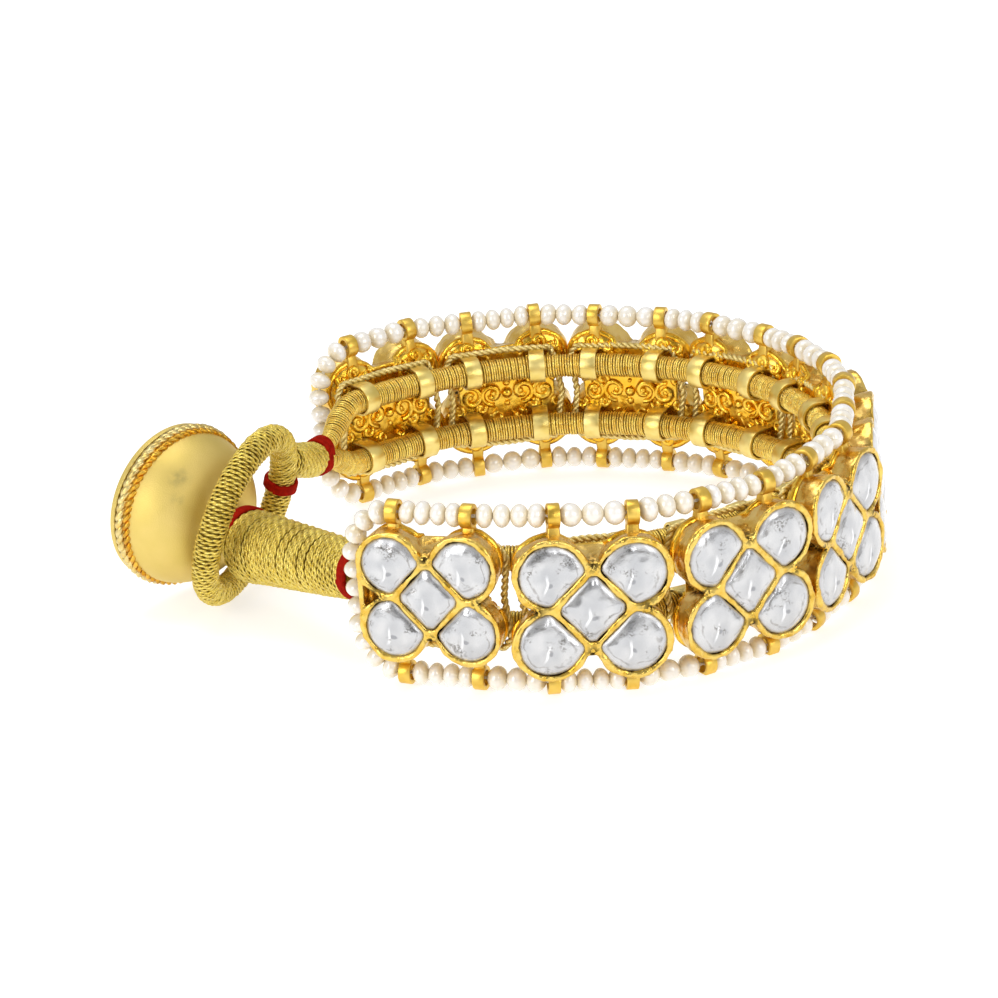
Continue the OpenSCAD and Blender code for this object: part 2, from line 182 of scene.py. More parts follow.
camera = bpy.data.objects.new("camera", bpy.data.cameras.new("camera"))
bpy.context.scene.collection.objects.link(camera)
place = Matrix((right, top, -look)).transposed().to_4x4()
place.translation = aim - look * distance
camera.matrix_world = place
camera.data.sensor_width = 36
camera.data.lens = LENS_PX / VIEW_PX * camera.data.sensor_width
camera.data.shift_x = SHIFT_PX[0] / VIEW_PX
camera.data.shift_y = SHIFT_PX[1] / VIEW_PX
camera.data.clip_start = 0.01
bpy.context.scene.camera = camera
bpy.context.scene.view_settings.view_transform = "Standard"
print("camera lens", round(camera.data.lens, 1), "mm")

# %% [markdown]
# The modelling is done with the tools that a hand on the mouse would use. A tool acts on all
# that is selected, so these helpers put everything down, take up one piece, pick the parts of
# it that are meant, and finish it with a modifier.

# %% Tools for taking up and finishing a piece


def let_go():
    """Leaves nothing selected."""
    if bpy.context.object and bpy.context.object.mode != "OBJECT":
        bpy.ops.object.mode_set(mode="OBJECT")
    bpy.ops.object.select_all(action="DESELECT")


def take(*pieces):
    """Selects only these pieces, and makes the first the active one."""
    let_go()
    for piece in pieces:
        piece.select_set(True)
    bpy.context.view_layer.objects.active = pieces[0]
    return pieces[0]


def pick(piece, kind, test):
    """Goes into edit mode and selects the points, edges or faces that pass the test."""
    take(piece)
    bpy.ops.object.mode_set(mode="EDIT")
    bpy.ops.mesh.select_mode(type=kind)
    bpy.ops.mesh.select_all(action="DESELECT")
    shape = bmesh.from_edit_mesh(piece.data)
    parts = {"VERT": shape.verts, "EDGE": shape.edges, "FACE": shape.faces}[kind]
    for part in parts:
        if test(part):
            part.select_set(True)
    shape.select_flush_mode()
    bmesh.update_edit_mesh(piece.data)


def finish_with(piece, kind, **settings):
    """Adds a modifier, sets it and applies it."""
    take(piece)
    modifier = piece.modifiers.new(kind.lower(), kind)
    for name, value in settings.items():
        setattr(modifier, name, value)
    bpy.ops.object.modifier_apply(modifier=modifier.name)


def put(piece, where):
    """Moves a piece by a matrix, and leaves its object at the origin."""
    take(piece)
    piece.matrix_world = where @ piece.matrix_world
    bpy.ops.object.transform_apply(location=True, rotation=True, scale=True)
    return piece


def copy_of(piece, name):
    """A copy with a mesh of its own."""
    twin = bpy.data.objects.new(name, piece.data.copy())
    bpy.context.scene.collection.objects.link(twin)
    return twin


def joined(name, pieces):
    """Joins pieces into one and gives it a name."""
    take(*pieces)
    if len(pieces) > 1:
        bpy.ops.object.join()
    piece = bpy.context.object
    piece.name = name
    piece.data.name = name
    return piece


def face_outwards(piece):
    """Merges doubles and turns every face outwards."""
    take(piece)
    bpy.ops.object.mode_set(mode="EDIT")
    bpy.ops.mesh.select_all(action="SELECT")
    bpy.ops.mesh.remove_doubles(threshold=0.001)
    bpy.ops.mesh.normals_make_consistent(inside=False)
    bpy.ops.object.mode_set(mode="OBJECT")
    return piece


def paint(piece, name, values):
    """Keeps one number for each point of a piece, for its finish to read."""
    layer = piece.data.attributes.get(name) or piece.data.attributes.new(name, "FLOAT", "POINT")
    points = len(piece.data.vertices)
    layer.data.foreach_set("value", np.broadcast_to(np.asarray(values, np.float32), points).copy())


def points_of(piece):
    """The places of a piece's points, one to a row."""
    places = np.zeros(len(piece.data.vertices) * 3)
    piece.data.vertices.foreach_get("co", places)
    return places.reshape(-1, 3)


def smooth(piece, angle=None):
    """Shades a piece smooth, all over or where its faces meet at less than this angle."""
    take(piece)
    if angle is None:
        bpy.ops.object.shade_smooth()
    else:
        bpy.ops.object.shade_smooth_by_angle(angle=math.radians(angle))
    return piece


def filed(piece, width, segments=2):
    """Breaks the sharp edges of a piece, as a file does."""
    finish_with(piece, "BEVEL", width=width, segments=segments, limit_method="ANGLE",
                angle_limit=math.radians(50))
    return smooth(piece, 40)


print("tools for pieces are ready")

# %% [markdown]
# Many pieces start as an outline. It is drawn as one would click it: a single point, and each
# next point extruded from the last. A closed outline is filled, and a section is spun.

# %% Tools for drawing


def last_made(name):
    """The piece that was made last, under this name."""
    bpy.context.object.name = name
    return bpy.context.object


def block(name, middle, size):
    """A plain block with this middle and size."""
    bpy.ops.mesh.primitive_cube_add(size=1, location=middle)
    piece = last_made(name)
    piece.scale = size
    return put(piece, Matrix())


def chained(points):
    """Draws points one by one, each joined to the last, and selects them all."""
    let_go()
    bpy.ops.mesh.primitive_plane_add(size=0.1)
    bpy.ops.object.mode_set(mode="EDIT")
    bpy.ops.mesh.select_mode(type="VERT")
    bpy.ops.mesh.select_all(action="SELECT")
    bpy.ops.mesh.merge(type="CENTER")
    bpy.ops.transform.translate(value=points[0])
    for here, there in zip(points, points[1:]):
        step = [end - start for start, end in zip(here, there)]
        bpy.ops.mesh.extrude_vertices_move(TRANSFORM_OT_translate={"value": step})
    bpy.ops.mesh.select_all(action="SELECT")


def draw(name, points):
    """Draws a closed outline and fills it with one face."""
    chained([Vector(point) for point in points])
    bpy.ops.mesh.edge_face_add()
    bpy.ops.object.mode_set(mode="OBJECT")
    return last_made(name)


def hull(name, points):
    """The solid that a skin drawn tight round the points would enclose."""
    pick(draw(name, points), "FACE", lambda face: True)
    bpy.ops.mesh.delete(type="ONLY_FACE")
    bpy.ops.mesh.select_all(action="SELECT")
    bpy.ops.mesh.convex_hull(use_existing_faces=False)
    bpy.ops.object.mode_set(mode="OBJECT")
    return face_outwards(last_made(name))


def spun(name, section, steps=96):
    """Draws a section in the plane of X and Z and spins it round Z into a closed solid."""
    chained([(x, 0, z) for x, z in section])
    bpy.ops.mesh.spin(steps=steps, angle=2 * math.pi, center=(0, 0, 0), axis=(0, 0, 1))
    bpy.ops.object.mode_set(mode="OBJECT")
    return face_outwards(last_made(name))


print("tools for drawing are ready")

# %% [markdown]
# Every finished piece goes through the same last step. It is shrunk to metres, it is tied to
# the frame's body, it says which finish it gets, and the part of the frame it stands for is hidden.

# %% Handing a piece over
pieces = []


def triangles_in(piece):
    """How many triangles a piece's faces make."""
    return sum(len(face.vertices) - 2 for face in piece.data.polygons)


def hand_over(piece, slot, node):
    """Shrinks a finished piece to metres, says which slot it fills, and hides the node it stands for."""
    put(piece, Matrix.Scale(MM, 4))
    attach(piece, "root")
    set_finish(piece, slot)
    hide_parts(node)
    pieces.append(piece)
    print(piece.name, "has", triangles_in(piece), "triangles")
    return piece


print("pieces handed over:", len(pieces))

# %% [markdown]
# The flowers are hollow gold boxes in the real bracelet: a back plate, a wall round each
# petal, and bars of soft pure gold pressed round the stones. The body could be built face by
# face, but a goldsmith would join simple shapes and then soften every edge. So four tapered
# cones and a spreading web between them are united, the settings are cut out, and a remesh
# with a little smoothing rounds all the edges as pressed gold foil has them.

# %% Outlines of the stones

# the straight side of a petal stone runs along the middle diamond, this way
diamond_way = Vector((DIAMOND_Z, 0, DIAMOND_X)).normalized()
along_way = Vector((-diamond_way.z, 0, diamond_way.x))
STONE_R = 2.85
STONE_CHORD = 1.95
CORNER_SIDE = 2.2
CORNER_TOP = 2.45
SETTING_DEPTH = 1.3
STONE_GAP = 0.17
BLUNT = 0.5


def tangent_angle(corner):
    """The heading of the point where a line from the corner touches the stone's round side."""
    toward = math.atan2(corner[1], corner[0])
    opening = math.acos(min(1, STONE_R / math.hypot(*corner)))
    return toward - math.copysign(opening, toward)


def blunted(points, corners, by):
    """The outline with the corners at these places in it cut round."""
    outline = []
    for k, corner in enumerate(points):
        if k not in corners:
            outline.append(corner)
            continue
        back = (points[k - 1] - corner).normalized() * by
        on = (points[(k + 1) % len(points)] - corner).normalized() * by
        outline += [corner + back, corner + (back + on) * 0.3, corner + on]
    return outline


def petal_outline(grow, y, arcs=18):
    """The outline of the upper right petal's stone, enlarged all round by grow."""
    side, upper = (-STONE_CHORD, -CORNER_SIDE), (-STONE_CHORD, CORNER_TOP)
    first, final = tangent_angle(side), tangent_angle(upper)
    turns = [first + (final - first) * k / arcs for k in range(arcs + 1)]
    flat = [((STONE_R + grow) * math.cos(a), (STONE_R + grow) * math.sin(a)) for a in turns]
    flat += [(upper[0] - grow, upper[1] + grow), (side[0] - grow, side[1] - grow)]
    middle = Vector((PETAL_X, y, PETAL_Z))
    points = [middle + diamond_way * e + along_way * t for e, t in flat]
    return blunted(points, (arcs + 1, arcs + 2), BLUNT)


def diamond_outline(grow, y):
    """The outline of the middle stone: a diamond with blunt corners and full sides."""
    inset = BAR_W * math.sqrt(2) + STONE_GAP
    x = DIAMOND_X - inset + grow * 1.4
    z = DIAMOND_Z - inset + grow * 1.4
    points = []
    for turn in range(4):
        tip = Vector((math.cos(turn * math.pi / 2), math.sin(turn * math.pi / 2)))
        side = Vector((-tip.y, tip.x))
        for share in (-0.11, 0, 0.11):
            blunt = tip * (0.93 - abs(share) * 0.1) + side * share
            points.append((blunt.x * x, blunt.y * z))
        middle = (tip + side) * 0.515
        points.append((middle.x * x, middle.y * z))
    return [Vector((px, y, pz)) for px, pz in points]


print("outline points:", len(petal_outline(0, 0)), "and", len(diamond_outline(0, 0)))

# %% [markdown]
# The body is put together in the middle of the wrist's axis, with its face towards +Y, and
# only its copies are carried to their places. The stones' settings are cut out last.

# %% Body of a flower


def extruded(piece, way):
    """Extrudes all faces of a flat piece into a closed block."""
    pick(piece, "FACE", lambda face: True)
    bpy.ops.mesh.extrude_region_move(TRANSFORM_OT_translate={"value": way})
    bpy.ops.object.mode_set(mode="OBJECT")
    return face_outwards(piece)


def mirrored_four(piece):
    """The piece itself and its three mirror images across the flower's middle lines."""
    four = []
    for sx in DOWN_UP:
        for sz in DOWN_UP:
            twin = copy_of(piece, f"{piece.name}_{len(four)}")
            put(twin, Matrix.Diagonal((sx, 1, sz, 1)))
            four.append(face_outwards(twin))
    bpy.data.objects.remove(piece)
    return four


WEB_X = 5.3
WEB_Z = 5.5
WEB_TOP_X = 3
WEB_SIDE_Z = 2.2
# the side of a petal from its back to its face: (distance from its middle, depth)
PETAL_SIDE = [(2.3, 0), (2.85, 0.3), (3.15, 0.8), (3.38, 1.5), (3.52, 2.3), (PETAL_R, PLAQUE_T)]


def flower_blank():
    """Four petals with rounded backs and the web between them, united."""
    outwards = Matrix.Rotation(-math.pi / 2, 4, "X")
    blank = None
    for sx in DOWN_UP:
        for sz in DOWN_UP:
            petal = spun("petal", [(0, 0)] + PETAL_SIDE + [(0, PLAQUE_T)], steps=72)
            put(petal, Matrix.Translation((sx * PETAL_X, BACK_Y, sz * PETAL_Z)) @ outwards)
            if blank is None:
                blank = petal
                continue
            finish_with(blank, "BOOLEAN", operation="UNION", object=petal, solver="EXACT")
            bpy.data.objects.remove(petal)
    # the web spreads from the diamond on the face to a broad plate at the back
    plate = [
        (WEB_TOP_X, WEB_Z), (WEB_X, WEB_SIDE_Z), (WEB_X, -WEB_SIDE_Z), (WEB_TOP_X, -WEB_Z),
        (-WEB_TOP_X, -WEB_Z), (-WEB_X, -WEB_SIDE_Z), (-WEB_X, WEB_SIDE_Z), (-WEB_TOP_X, WEB_Z)]
    diamond = [(0, DIAMOND_Z), (-DIAMOND_X, 0), (0, -DIAMOND_Z), (DIAMOND_X, 0)]
    corners = [(x, BACK_Y + 0.01, z) for x, z in plate] + [(x, FACE_Y - 0.01, z) for x, z in diamond]
    web = hull("web", corners)
    finish_with(blank, "BOOLEAN", operation="UNION", object=web, solver="EXACT")
    bpy.data.objects.remove(web)
    return blank


def cut_settings(blank):
    """Cuts the five settings out of the face."""
    floor_y = FACE_Y - SETTING_DEPTH
    deep = (0, SETTING_DEPTH + 1, 0)
    cutters = mirrored_four(extruded(draw("petal_cut", petal_outline(STONE_GAP, floor_y)), deep))
    cutters.append(extruded(draw("diamond_cut", diamond_outline(STONE_GAP, floor_y)), deep))
    for cutter in cutters:
        finish_with(blank, "BOOLEAN", operation="DIFFERENCE", object=cutter, solver="EXACT")
        bpy.data.objects.remove(cutter)
    return blank


VOXEL = 0.15
KEPT_SHARE = 0.37


def softened(blank, name):
    """Remeshes a body finely and rounds its edges."""
    finish_with(blank, "REMESH", mode="VOXEL", voxel_size=VOXEL)
    finish_with(blank, "SMOOTH", factor=0.5, iterations=3)
    finish_with(blank, "DECIMATE", ratio=KEPT_SHARE)
    blank.name = name
    return smooth(blank)


let_go()
body = cut_settings(flower_blank())
# the first flower is closed towards the button by an upright strip, with a block behind it that is painted
# dark as the shade in the hollow there
first_body = copy_of(body, "first_body")
strip_x = PETAL_X + STONE_R + 0.45
strip = block("strip", (strip_x, FACE_Y - 0.85, 0), (0.55, 1.3, 6.4))
shade_block = block("shade_block", (5.9, FACE_Y - 1.9, 0), (2.2, 0.6, 3.4))
for added in (strip, shade_block):
    finish_with(first_body, "BOOLEAN", operation="UNION", object=added, solver="EXACT")
    bpy.data.objects.remove(added)
body = softened(body, "body")
first_body = softened(first_body, "first_body")
print("points in a body:", len(body.data.vertices))

# %% [markdown]
# The back of each flower is chased with scrolls. On the real plates they are punched up from
# behind and hardly any two are alike. Here each scroll is a tapering strand that winds in to
# its eye, half sunk in the plate, with small beads between.

# %% Round strands


def strand(name, routes, thickness, closed=False, sides=6, taper=None):
    """Round strands along lists of points, as one mesh."""
    curve = bpy.data.curves.new(name, "CURVE")
    curve.dimensions = "3D"
    curve.bevel_depth = thickness / 2
    curve.bevel_resolution = sides // 2 - 2
    curve.use_fill_caps = not closed
    for route in routes:
        spline = curve.splines.new("POLY")
        spline.points.add(len(route) - 1)
        places = np.ones((len(route), 4))
        places[:, :3] = np.asarray([tuple(point) for point in route])
        spline.points.foreach_set("co", places.ravel())
        spline.use_cyclic_u = closed
        if taper is not None:
            shares = [taper(k / (len(route) - 1)) for k in range(len(route))]
            spline.points.foreach_set("radius", shares)
    piece = bpy.data.objects.new(name, curve)
    bpy.context.scene.collection.objects.link(piece)
    take(piece)
    bpy.ops.object.convert(target="MESH")
    return smooth(bpy.context.object)


print("strands can be drawn")

# %% [markdown]
# One half of the back is drawn, and the other half is its mirror image. The petals' backs are
# round, so each scroll follows their depth.

# %% Scrolls on the back
SCROLL_STEPS = 22


def back_depth(x, z):
    """How deep the back lies at a spot, where a petal's back rounds off towards its side."""
    x, z = abs(x), abs(z)
    if (x < WEB_X and z < WEB_SIDE_Z) or (x < PETAL_X and z < WEB_Z):
        return 0
    out = math.hypot(x - PETAL_X, z - PETAL_Z)
    return float(np.interp(min(out, 3.3), [r for r, y in PETAL_SIDE], [y for r, y in PETAL_SIDE]))


def scroll(x, z, r, start, sweep, wind=0.72):
    """A spiral on the back from radius r in to its eye."""
    route = []
    for k in range(SCROLL_STEPS + 1):
        share = k / SCROLL_STEPS
        angle = math.radians(start + sweep * share)
        radius = r * (1 - wind * share)
        px = x + radius * math.cos(angle)
        pz = z + radius * math.sin(angle)
        route.append((px, BACK_Y - 0.04 + back_depth(px, pz), pz))
    return route


def back_scrolls():
    """Scrolls for one half of the back. The other half is their mirror image."""
    # x, z, radius, first heading, sweep
    middle = [
        (1.7, 0.1, 1.3, -100, 420), (4.0, -0.1, 1.2, 80, 420),
        (3.0, 1.35, 0.62, 200, -330), (3.0, -1.4, 0.62, 160, 330)]
    upper = [
        (5.5, 1.6, 0.6, 250, -330), (2.6, 3.9, 1.15, 10, 400), (5.2, 3.9, 1.15, 170, -400),
        (3.9, 5.5, 0.75, -90, 360), (1.1, 2.6, 0.6, 270, 330), (2.35, 5.0, 0.6, 120, 330),
        (5.45, 5.0, 0.6, 60, -330)]
    both = [(x, up * z, r, up * start, up * sweep) for up in DOWN_UP for x, z, r, start, sweep in upper]
    return [scroll(*row) for row in middle + both]


def back_borders():
    """A ridge that follows the free edge of each petal in one half of the back."""
    return [scroll(PETAL_X, up * PETAL_Z, 3.08, up * -32, up * 182, 0) for up in DOWN_UP]


def bead(x, z, r):
    """A low round bead on the back."""
    bpy.ops.mesh.primitive_uv_sphere_add(
        segments=12, ring_count=8, radius=r,
        location=(x, BACK_Y + 0.02 + back_depth(x, z), z), rotation=(math.pi / 2, 0, 0))
    ball = last_made("bead")
    ball.scale = (1, 1, 0.8)
    return smooth(put(ball, Matrix()))


def scroll_taper(share):
    """A scroll's thickness along its length, thinner at both ends."""
    return 0.7 + 0.3 * math.sin(math.pi * share)


def border_taper(share):
    """A border's thickness along its length, full almost to its ends."""
    return 0.6 + 0.4 * math.sin(math.pi * share) ** 0.5


let_go()
half = joined("half", [
    strand("scrolls", back_scrolls(), 0.78, taper=scroll_taper),
    strand("borders", back_borders(), 0.8, taper=border_taper)])
mirror = Matrix.Diagonal((-1, 1, 1, 1))
other_half = face_outwards(put(copy_of(half, "scrolls_mirrored"), mirror))
# x, z, radius
middle_beads = [(1.5, 0.1, 0.36), (4.05, -0.1, 0.36), (2.9, 0.0, 0.26)]
upper_beads = [
    (2.55, 3.9, 0.32), (5.25, 3.9, 0.32), (3.9, 2.6, 0.3),
    (3.9, 5.55, 0.34), (6.1, 3.4, 0.3), (1.9, 2.4, 0.3)]
rows = middle_beads + [(x, up * z, r) for x, z, r in upper_beads for up in DOWN_UP]
beads = [bead(0, 0, 0.62), bead(0, 1.2, 0.34), bead(0, -1.2, 0.34)]
beads += [bead(sx * x, z, r) for sx in DOWN_UP for x, z, r in rows]
relief = joined("relief", [half, other_half] + beads)
print("points in the relief:", len(relief.data.vertices))

# %% [markdown]
# The string loops and the staples are bent from flat strip. The spin tool does the same as
# the pliers: it takes the strip's section round a centre. A bevel breaks the sharp edges,
# because a file has gone over them on the real piece.

# %% Loops and staples
FOOT_H = 1.7


def strip_section(wide, thick, at):
    """The section of a strip, standing in the plane of X and Z, as edges only."""
    let_go()
    bpy.ops.mesh.primitive_plane_add(size=1, rotation=(math.pi / 2, 0, 0))
    section = last_made("section")
    section.scale = (wide, thick, 1)
    put(section, Matrix.Translation(at))
    pick(section, "FACE", lambda face: True)
    bpy.ops.mesh.delete(type="ONLY_FACE")
    bpy.ops.mesh.select_mode(type="EDGE")
    bpy.ops.mesh.select_all(action="SELECT")
    return section


def string_loop(x, up):
    """A ring of strip and its foot on the petal."""
    centre = Vector((x, LOOP_Y, up * LOOP_Z))
    ring = strip_section(LOOP_W, LOOP_WALL, centre + Vector((0, 0, LOOP_R - LOOP_WALL / 2)))
    bpy.ops.mesh.spin(steps=28, angle=2 * math.pi, center=centre, axis=(1, 0, 0))
    bpy.ops.object.mode_set(mode="OBJECT")
    face_outwards(ring)
    foot = block("foot", (x, LOOP_Y, up * (LOOP_Z - FOOT_H)), (1.12, 0.9, FOOT_H))
    pick(foot, "VERT", lambda point: point.co.z * up < LOOP_Z - FOOT_H)
    bpy.ops.transform.resize(value=(1.25, 1.7, 1))
    bpy.ops.object.mode_set(mode="OBJECT")
    finish_with(foot, "BEVEL", width=0.2, segments=3)
    return filed(joined("string_loop", [ring, foot]), 0.09)


def staple(side, up):
    """A strip bent round a cord, with its two legs on the back plate."""
    centre = Vector((0, CORD_PATH_R, up * CORD_Z))
    start = centre + Vector((0, 0, STAPLE_R - STAPLE_WALL / 2))
    piece = strip_section(STAPLE_W, STAPLE_WALL, start)
    bpy.ops.mesh.spin(steps=20, angle=math.pi, center=centre, axis=(1, 0, 0))
    bpy.ops.object.mode_set(mode="OBJECT")
    face_outwards(piece)
    # the bow belongs on the wrist's side of the cord, whichever way the spin went
    if min(point.co.y for point in piece.data.vertices) > CORD_PATH_R - 1:
        flip = Matrix.Translation(centre) @ Matrix.Diagonal((1, -1, 1, 1))
        put(piece, flip @ Matrix.Translation(-centre))
    leg = BACK_Y / math.cos(math.radians(STAPLE_DEG)) - CORD_PATH_R + 0.25
    pick(piece, "EDGE", lambda edge: edge.is_boundary)
    bpy.ops.mesh.extrude_edges_move(TRANSFORM_OT_translate={"value": (0, leg, 0)})
    bpy.ops.mesh.fill()
    bpy.ops.object.mode_set(mode="OBJECT")
    filed(face_outwards(piece), 0.07)
    return put(piece, Matrix.Rotation(math.radians(side * STAPLE_DEG), 4, "Z"))


loops = joined("loops", [string_loop(side * LOOP_X, up) for side in DOWN_UP for up in DOWN_UP])
staples = joined("staples", [staple(side, up) for side in DOWN_UP for up in DOWN_UP])
print("points in loops and staples:", len(loops.data.vertices), "and", len(staples.data.vertices))

# %% [markdown]
# Each flower was made by hand, so no two have quite the same edges. Every copy is put in its
# place first, and then pushed about by a quarter of a millimetre at most by a cloudy pattern
# that fills the room. As the flowers stand in different spots of the pattern, each comes out different.
# How deep a point lies is kept with it, because the gold is coloured differently there.

# %% Flowers in their places
broad_clouds = bpy.data.textures.new("broad_clouds", "CLOUDS")
broad_clouds.noise_scale = 2.2
fine_clouds = bpy.data.textures.new("fine_clouds", "CLOUDS")
fine_clouds.noise_scale = 0.7


def made_by_hand(piece, broad, fine=0):
    """Pushes a piece's surface about, a little and evenly to both sides."""
    for clouds, strength in ((broad_clouds, broad), (fine_clouds, fine)):
        if strength:
            finish_with(piece, "DISPLACE", texture=clouds, texture_coords="LOCAL",
                        strength=strength, mid_level=0.5)


# what the gold darkens, partly grime and partly painted shade: the pits at the diamond's tips and in the
# side notches, the block in the first flower's hollow, and the staples' legs towards the plate
for source, part in ((body, 0), (first_body, 0), (relief, 1), (loops, 2), (staples, 3)):
    places = points_of(source)
    paint(source, "part", part)
    paint(source, "depth", (places[:, 1] - BACK_Y) / PLAQUE_T)
    near_tips = np.hypot(places[:, 0], np.abs(places[:, 2]) - DIAMOND_Z + 0.2)
    near_sides = np.hypot(np.abs(places[:, 0]) - DIAMOND_X - 0.9, places[:, 2])
    pit = np.clip(1.2 - np.minimum(near_tips, near_sides) / 0.8, 0, 1)
    if source == first_body:
        # painted shade: the block in the hollow behind the strip is painted dark
        near_shade_block = np.hypot(places[:, 0] - 6.0, places[:, 2])
        pit = np.maximum(pit, np.clip(1.6 - near_shade_block / 0.75, 0, 1))
    if source == staples:
        # painted shade: the staples' legs darken towards the plate
        pit = np.clip((places[:, 1] - CORD_PATH_R - 0.7) / 0.8, 0, 0.8)
    paint(source, "pit", pit)

for i in range(PLAQUE_COUNT):
    parts = []
    for source, where, broad, fine in (
            (first_body if i == 0 else body, hand_shaped(i), 0.5, 0.04),
            (relief, hand_shaped(i), 0.3, 0.1),
            (loops, hand_placed(i), 0.14, 0),
            (staples, on_plaque(i), 0.1, 0)):
        part = put(copy_of(source, "part"), where)
        made_by_hand(part, broad, fine)
        parts.append(part)
    number = f"{i + 1:02d}"
    hand_over(joined(f"flower_{number}", parts), "plaque_gold", f"plaque_{number}")
for source in (body, first_body, relief, loops, staples):
    bpy.data.objects.remove(source)

# %% [markdown]
# Polki are uncut diamonds: flat slices that are only polished, and backed with silver foil.
# Their crowns are low domes that bulge a little between the bars. Each stone starts as its
# outline, and is extruded up ring by ring, drawing in more and more towards the table.

# %% Stones
# how far each ring is extruded, and its size against the one before: the crown up to the table
GIRDLE = (0.62, 1.11)
CROWN = [
    (0.1, 0.985), (0.12, 0.95), (0.13, 0.91), (0.12, 0.87),
    (0.1, 0.82), (0.07, 0.76), (0.04, 0.62), (0.01, 0.4)]
CROWN_H = sum(far for far, share in CROWN)
# the gold is pressed over the stones, so they are a little larger than their settings
PETAL_STONE = 0.21
MIDDLE_STONE = 0.22


def evenly(points, step):
    """The same closed outline with points at even steps."""
    spaced = []
    for here, there in zip(points, points[1:] + points[:1]):
        count = max(1, round((there - here).length / step))
        spaced += [here.lerp(there, k / count) for k in range(count)]
    return spaced


def raised(piece, centre, steps):
    """Extrudes the selected face out step by step. Each step is (how far, how much smaller)."""
    for far, share in steps:
        bpy.ops.mesh.extrude_region_move(TRANSFORM_OT_translate={"value": (0, far, 0)})
        bpy.ops.transform.resize(value=(share, 1, share), center_override=centre)


def stone(name, outline, centre):
    """A stone raised from its outline, with its centre on its base."""
    piece = draw(name, evenly(outline, 0.36))
    pick(piece, "FACE", lambda face: True)
    bpy.ops.transform.resize(value=(0.9, 1, 0.9), center_override=centre)
    raised(piece, centre, [GIRDLE] + CROWN)
    bpy.ops.object.mode_set(mode="OBJECT")
    return smooth(face_outwards(piece))


let_go()
base_y = FACE_Y - SETTING_DEPTH + 0.32
middle_of_petal = (PETAL_X, base_y, PETAL_Z)
stones = mirrored_four(stone("petal_stone", petal_outline(PETAL_STONE, base_y), middle_of_petal))
stones.append(stone("middle_stone", diamond_outline(MIDDLE_STONE, base_y), (0, base_y, 0)))
middles = [(sx * PETAL_X, sz * PETAL_Z) for sx in DOWN_UP for sz in DOWN_UP] + [(0, 0)]
for gem, (x, z) in zip(stones, middles):
    places = points_of(gem)
    paint(gem, "across", places[:, 0] - x)
    paint(gem, "along", places[:, 2] - z)
    paint(gem, "edge", np.clip(1 - (places[:, 1] - base_y - GIRDLE[0]) / CROWN_H, 0, 1))
stones = smooth(joined("stones", stones))
for i in range(PLAQUE_COUNT):
    number = f"{i + 1:02d}"
    gems = put(copy_of(stones, f"flower_stones_{number}"), hand_shaped(i))
    made_by_hand(gems, 0.22)
    hand_over(gems, "stone", f"stones_{number}")
bpy.data.objects.remove(stones)

# %% [markdown]
# Seed pearls are never round and never alike. They were sorted roughly by size, drilled and
# threaded, so each sits a little crooked on its thread. The counts between the loops are the
# real ones wherever they show, and so the pearls are squeezed or spaced as they are there.

# %% The strings' way
# how many pearls hang over each plaque, and how many follow it before the next
UPPER_OVER = [4, 3, 4, 3, 3, 3, 3, 3, 4, 3]
LOWER_OVER = [4, 4, 4, 3, 3, 3, 3, 4, 3, 4]
UPPER_NEXT = [4, 3, 3, 3, 3, 3, 3, 3, 3]
LOWER_NEXT = [3] * 9
ROUND_END = 11
PEARL_GAP = 0.06
END_GAP = 0.27
END_BEND_R = 4.7
END_QUARTER = math.pi / 2 * END_BEND_R
END_LENGTH = 2 * END_QUARTER + 2 * (LOOP_Z - END_BEND_R)
chance = random.Random(4)


def loop_at(i, side, up):
    """The middle of a string loop."""
    return hand_placed(i) @ Vector((-side * LOOP_X, LOOP_Y, up * LOOP_Z))


def end_at(turn, s):
    """A place on the bend where the upper string turns down into the lower."""
    last = PLAQUE_COUNT - 1
    angle = heading(last) + LOOP_DEG if turn > 0 else heading(0) - LOOP_DEG
    near = min(s, END_LENGTH - s)
    bent = math.pi / 2 * min(1, near / END_QUARTER)
    out = END_BEND_R * math.sin(bent)
    up = LOOP_Z - END_BEND_R * (1 - math.cos(bent)) - max(0, near - END_QUARTER)
    up = up if s < END_LENGTH / 2 else -up
    tangent = polar(turn, angle + 90, 0)
    share = s / END_LENGTH
    i = last if turn > 0 else 0
    shifts = [loop_at(i, turn, side) - polar(STRING_R, angle, MID_Z + side * LOOP_Z) for side in (1, -1)]
    return polar(STRING_R, angle, MID_Z + up) + tangent * out + shifts[0].lerp(shifts[1], share)


print("pearls counted between loops:", sum(UPPER_OVER + LOWER_OVER + UPPER_NEXT + LOWER_NEXT))

# %% [markdown]
# Each pearl is a ball pressed flat along its thread. A number kept with it makes it whiter or
# warmer, and another tells how near a point lies to the holes.

# %% Pearls


def pearl(where, way, length):
    """A pearl at a place on its thread, squashed along it and a little crooked."""
    wide = PEARL_R * chance.uniform(0.95, 1.05)
    bpy.ops.mesh.primitive_uv_sphere_add(segments=20, ring_count=12, radius=1)
    ball = last_made("pearl")
    ball.scale = (wide * chance.uniform(0.96, 1), wide, (length + 0.14) / 2 * chance.uniform(0.98, 1.03))
    crooked = [math.radians(chance.uniform(-6, 6)) for turn in range(2)]
    ball.rotation_euler = crooked + [chance.uniform(0, 6)]
    put(ball, Matrix())
    paint(ball, "tint", chance.uniform(0, 1))
    paint(ball, "pole", np.abs(points_of(ball)[:, 2]) / (length / 2))
    put(ball, Matrix.Translation(where) @ way.to_track_quat("Z", "Y").to_matrix().to_4x4())
    return smooth(ball)


def pearls_between(start, end, count, slant):
    """Pearls that fill the thread between two loops."""
    first = LOOP_W / 2 + slant + PEARL_GAP
    length = ((end - start).length - 2 * first + PEARL_GAP) / count - PEARL_GAP
    way = (end - start).normalized()
    return [pearl(start + way * (first + length / 2 + k * (length + PEARL_GAP)), way, length)
            for k in range(count)]


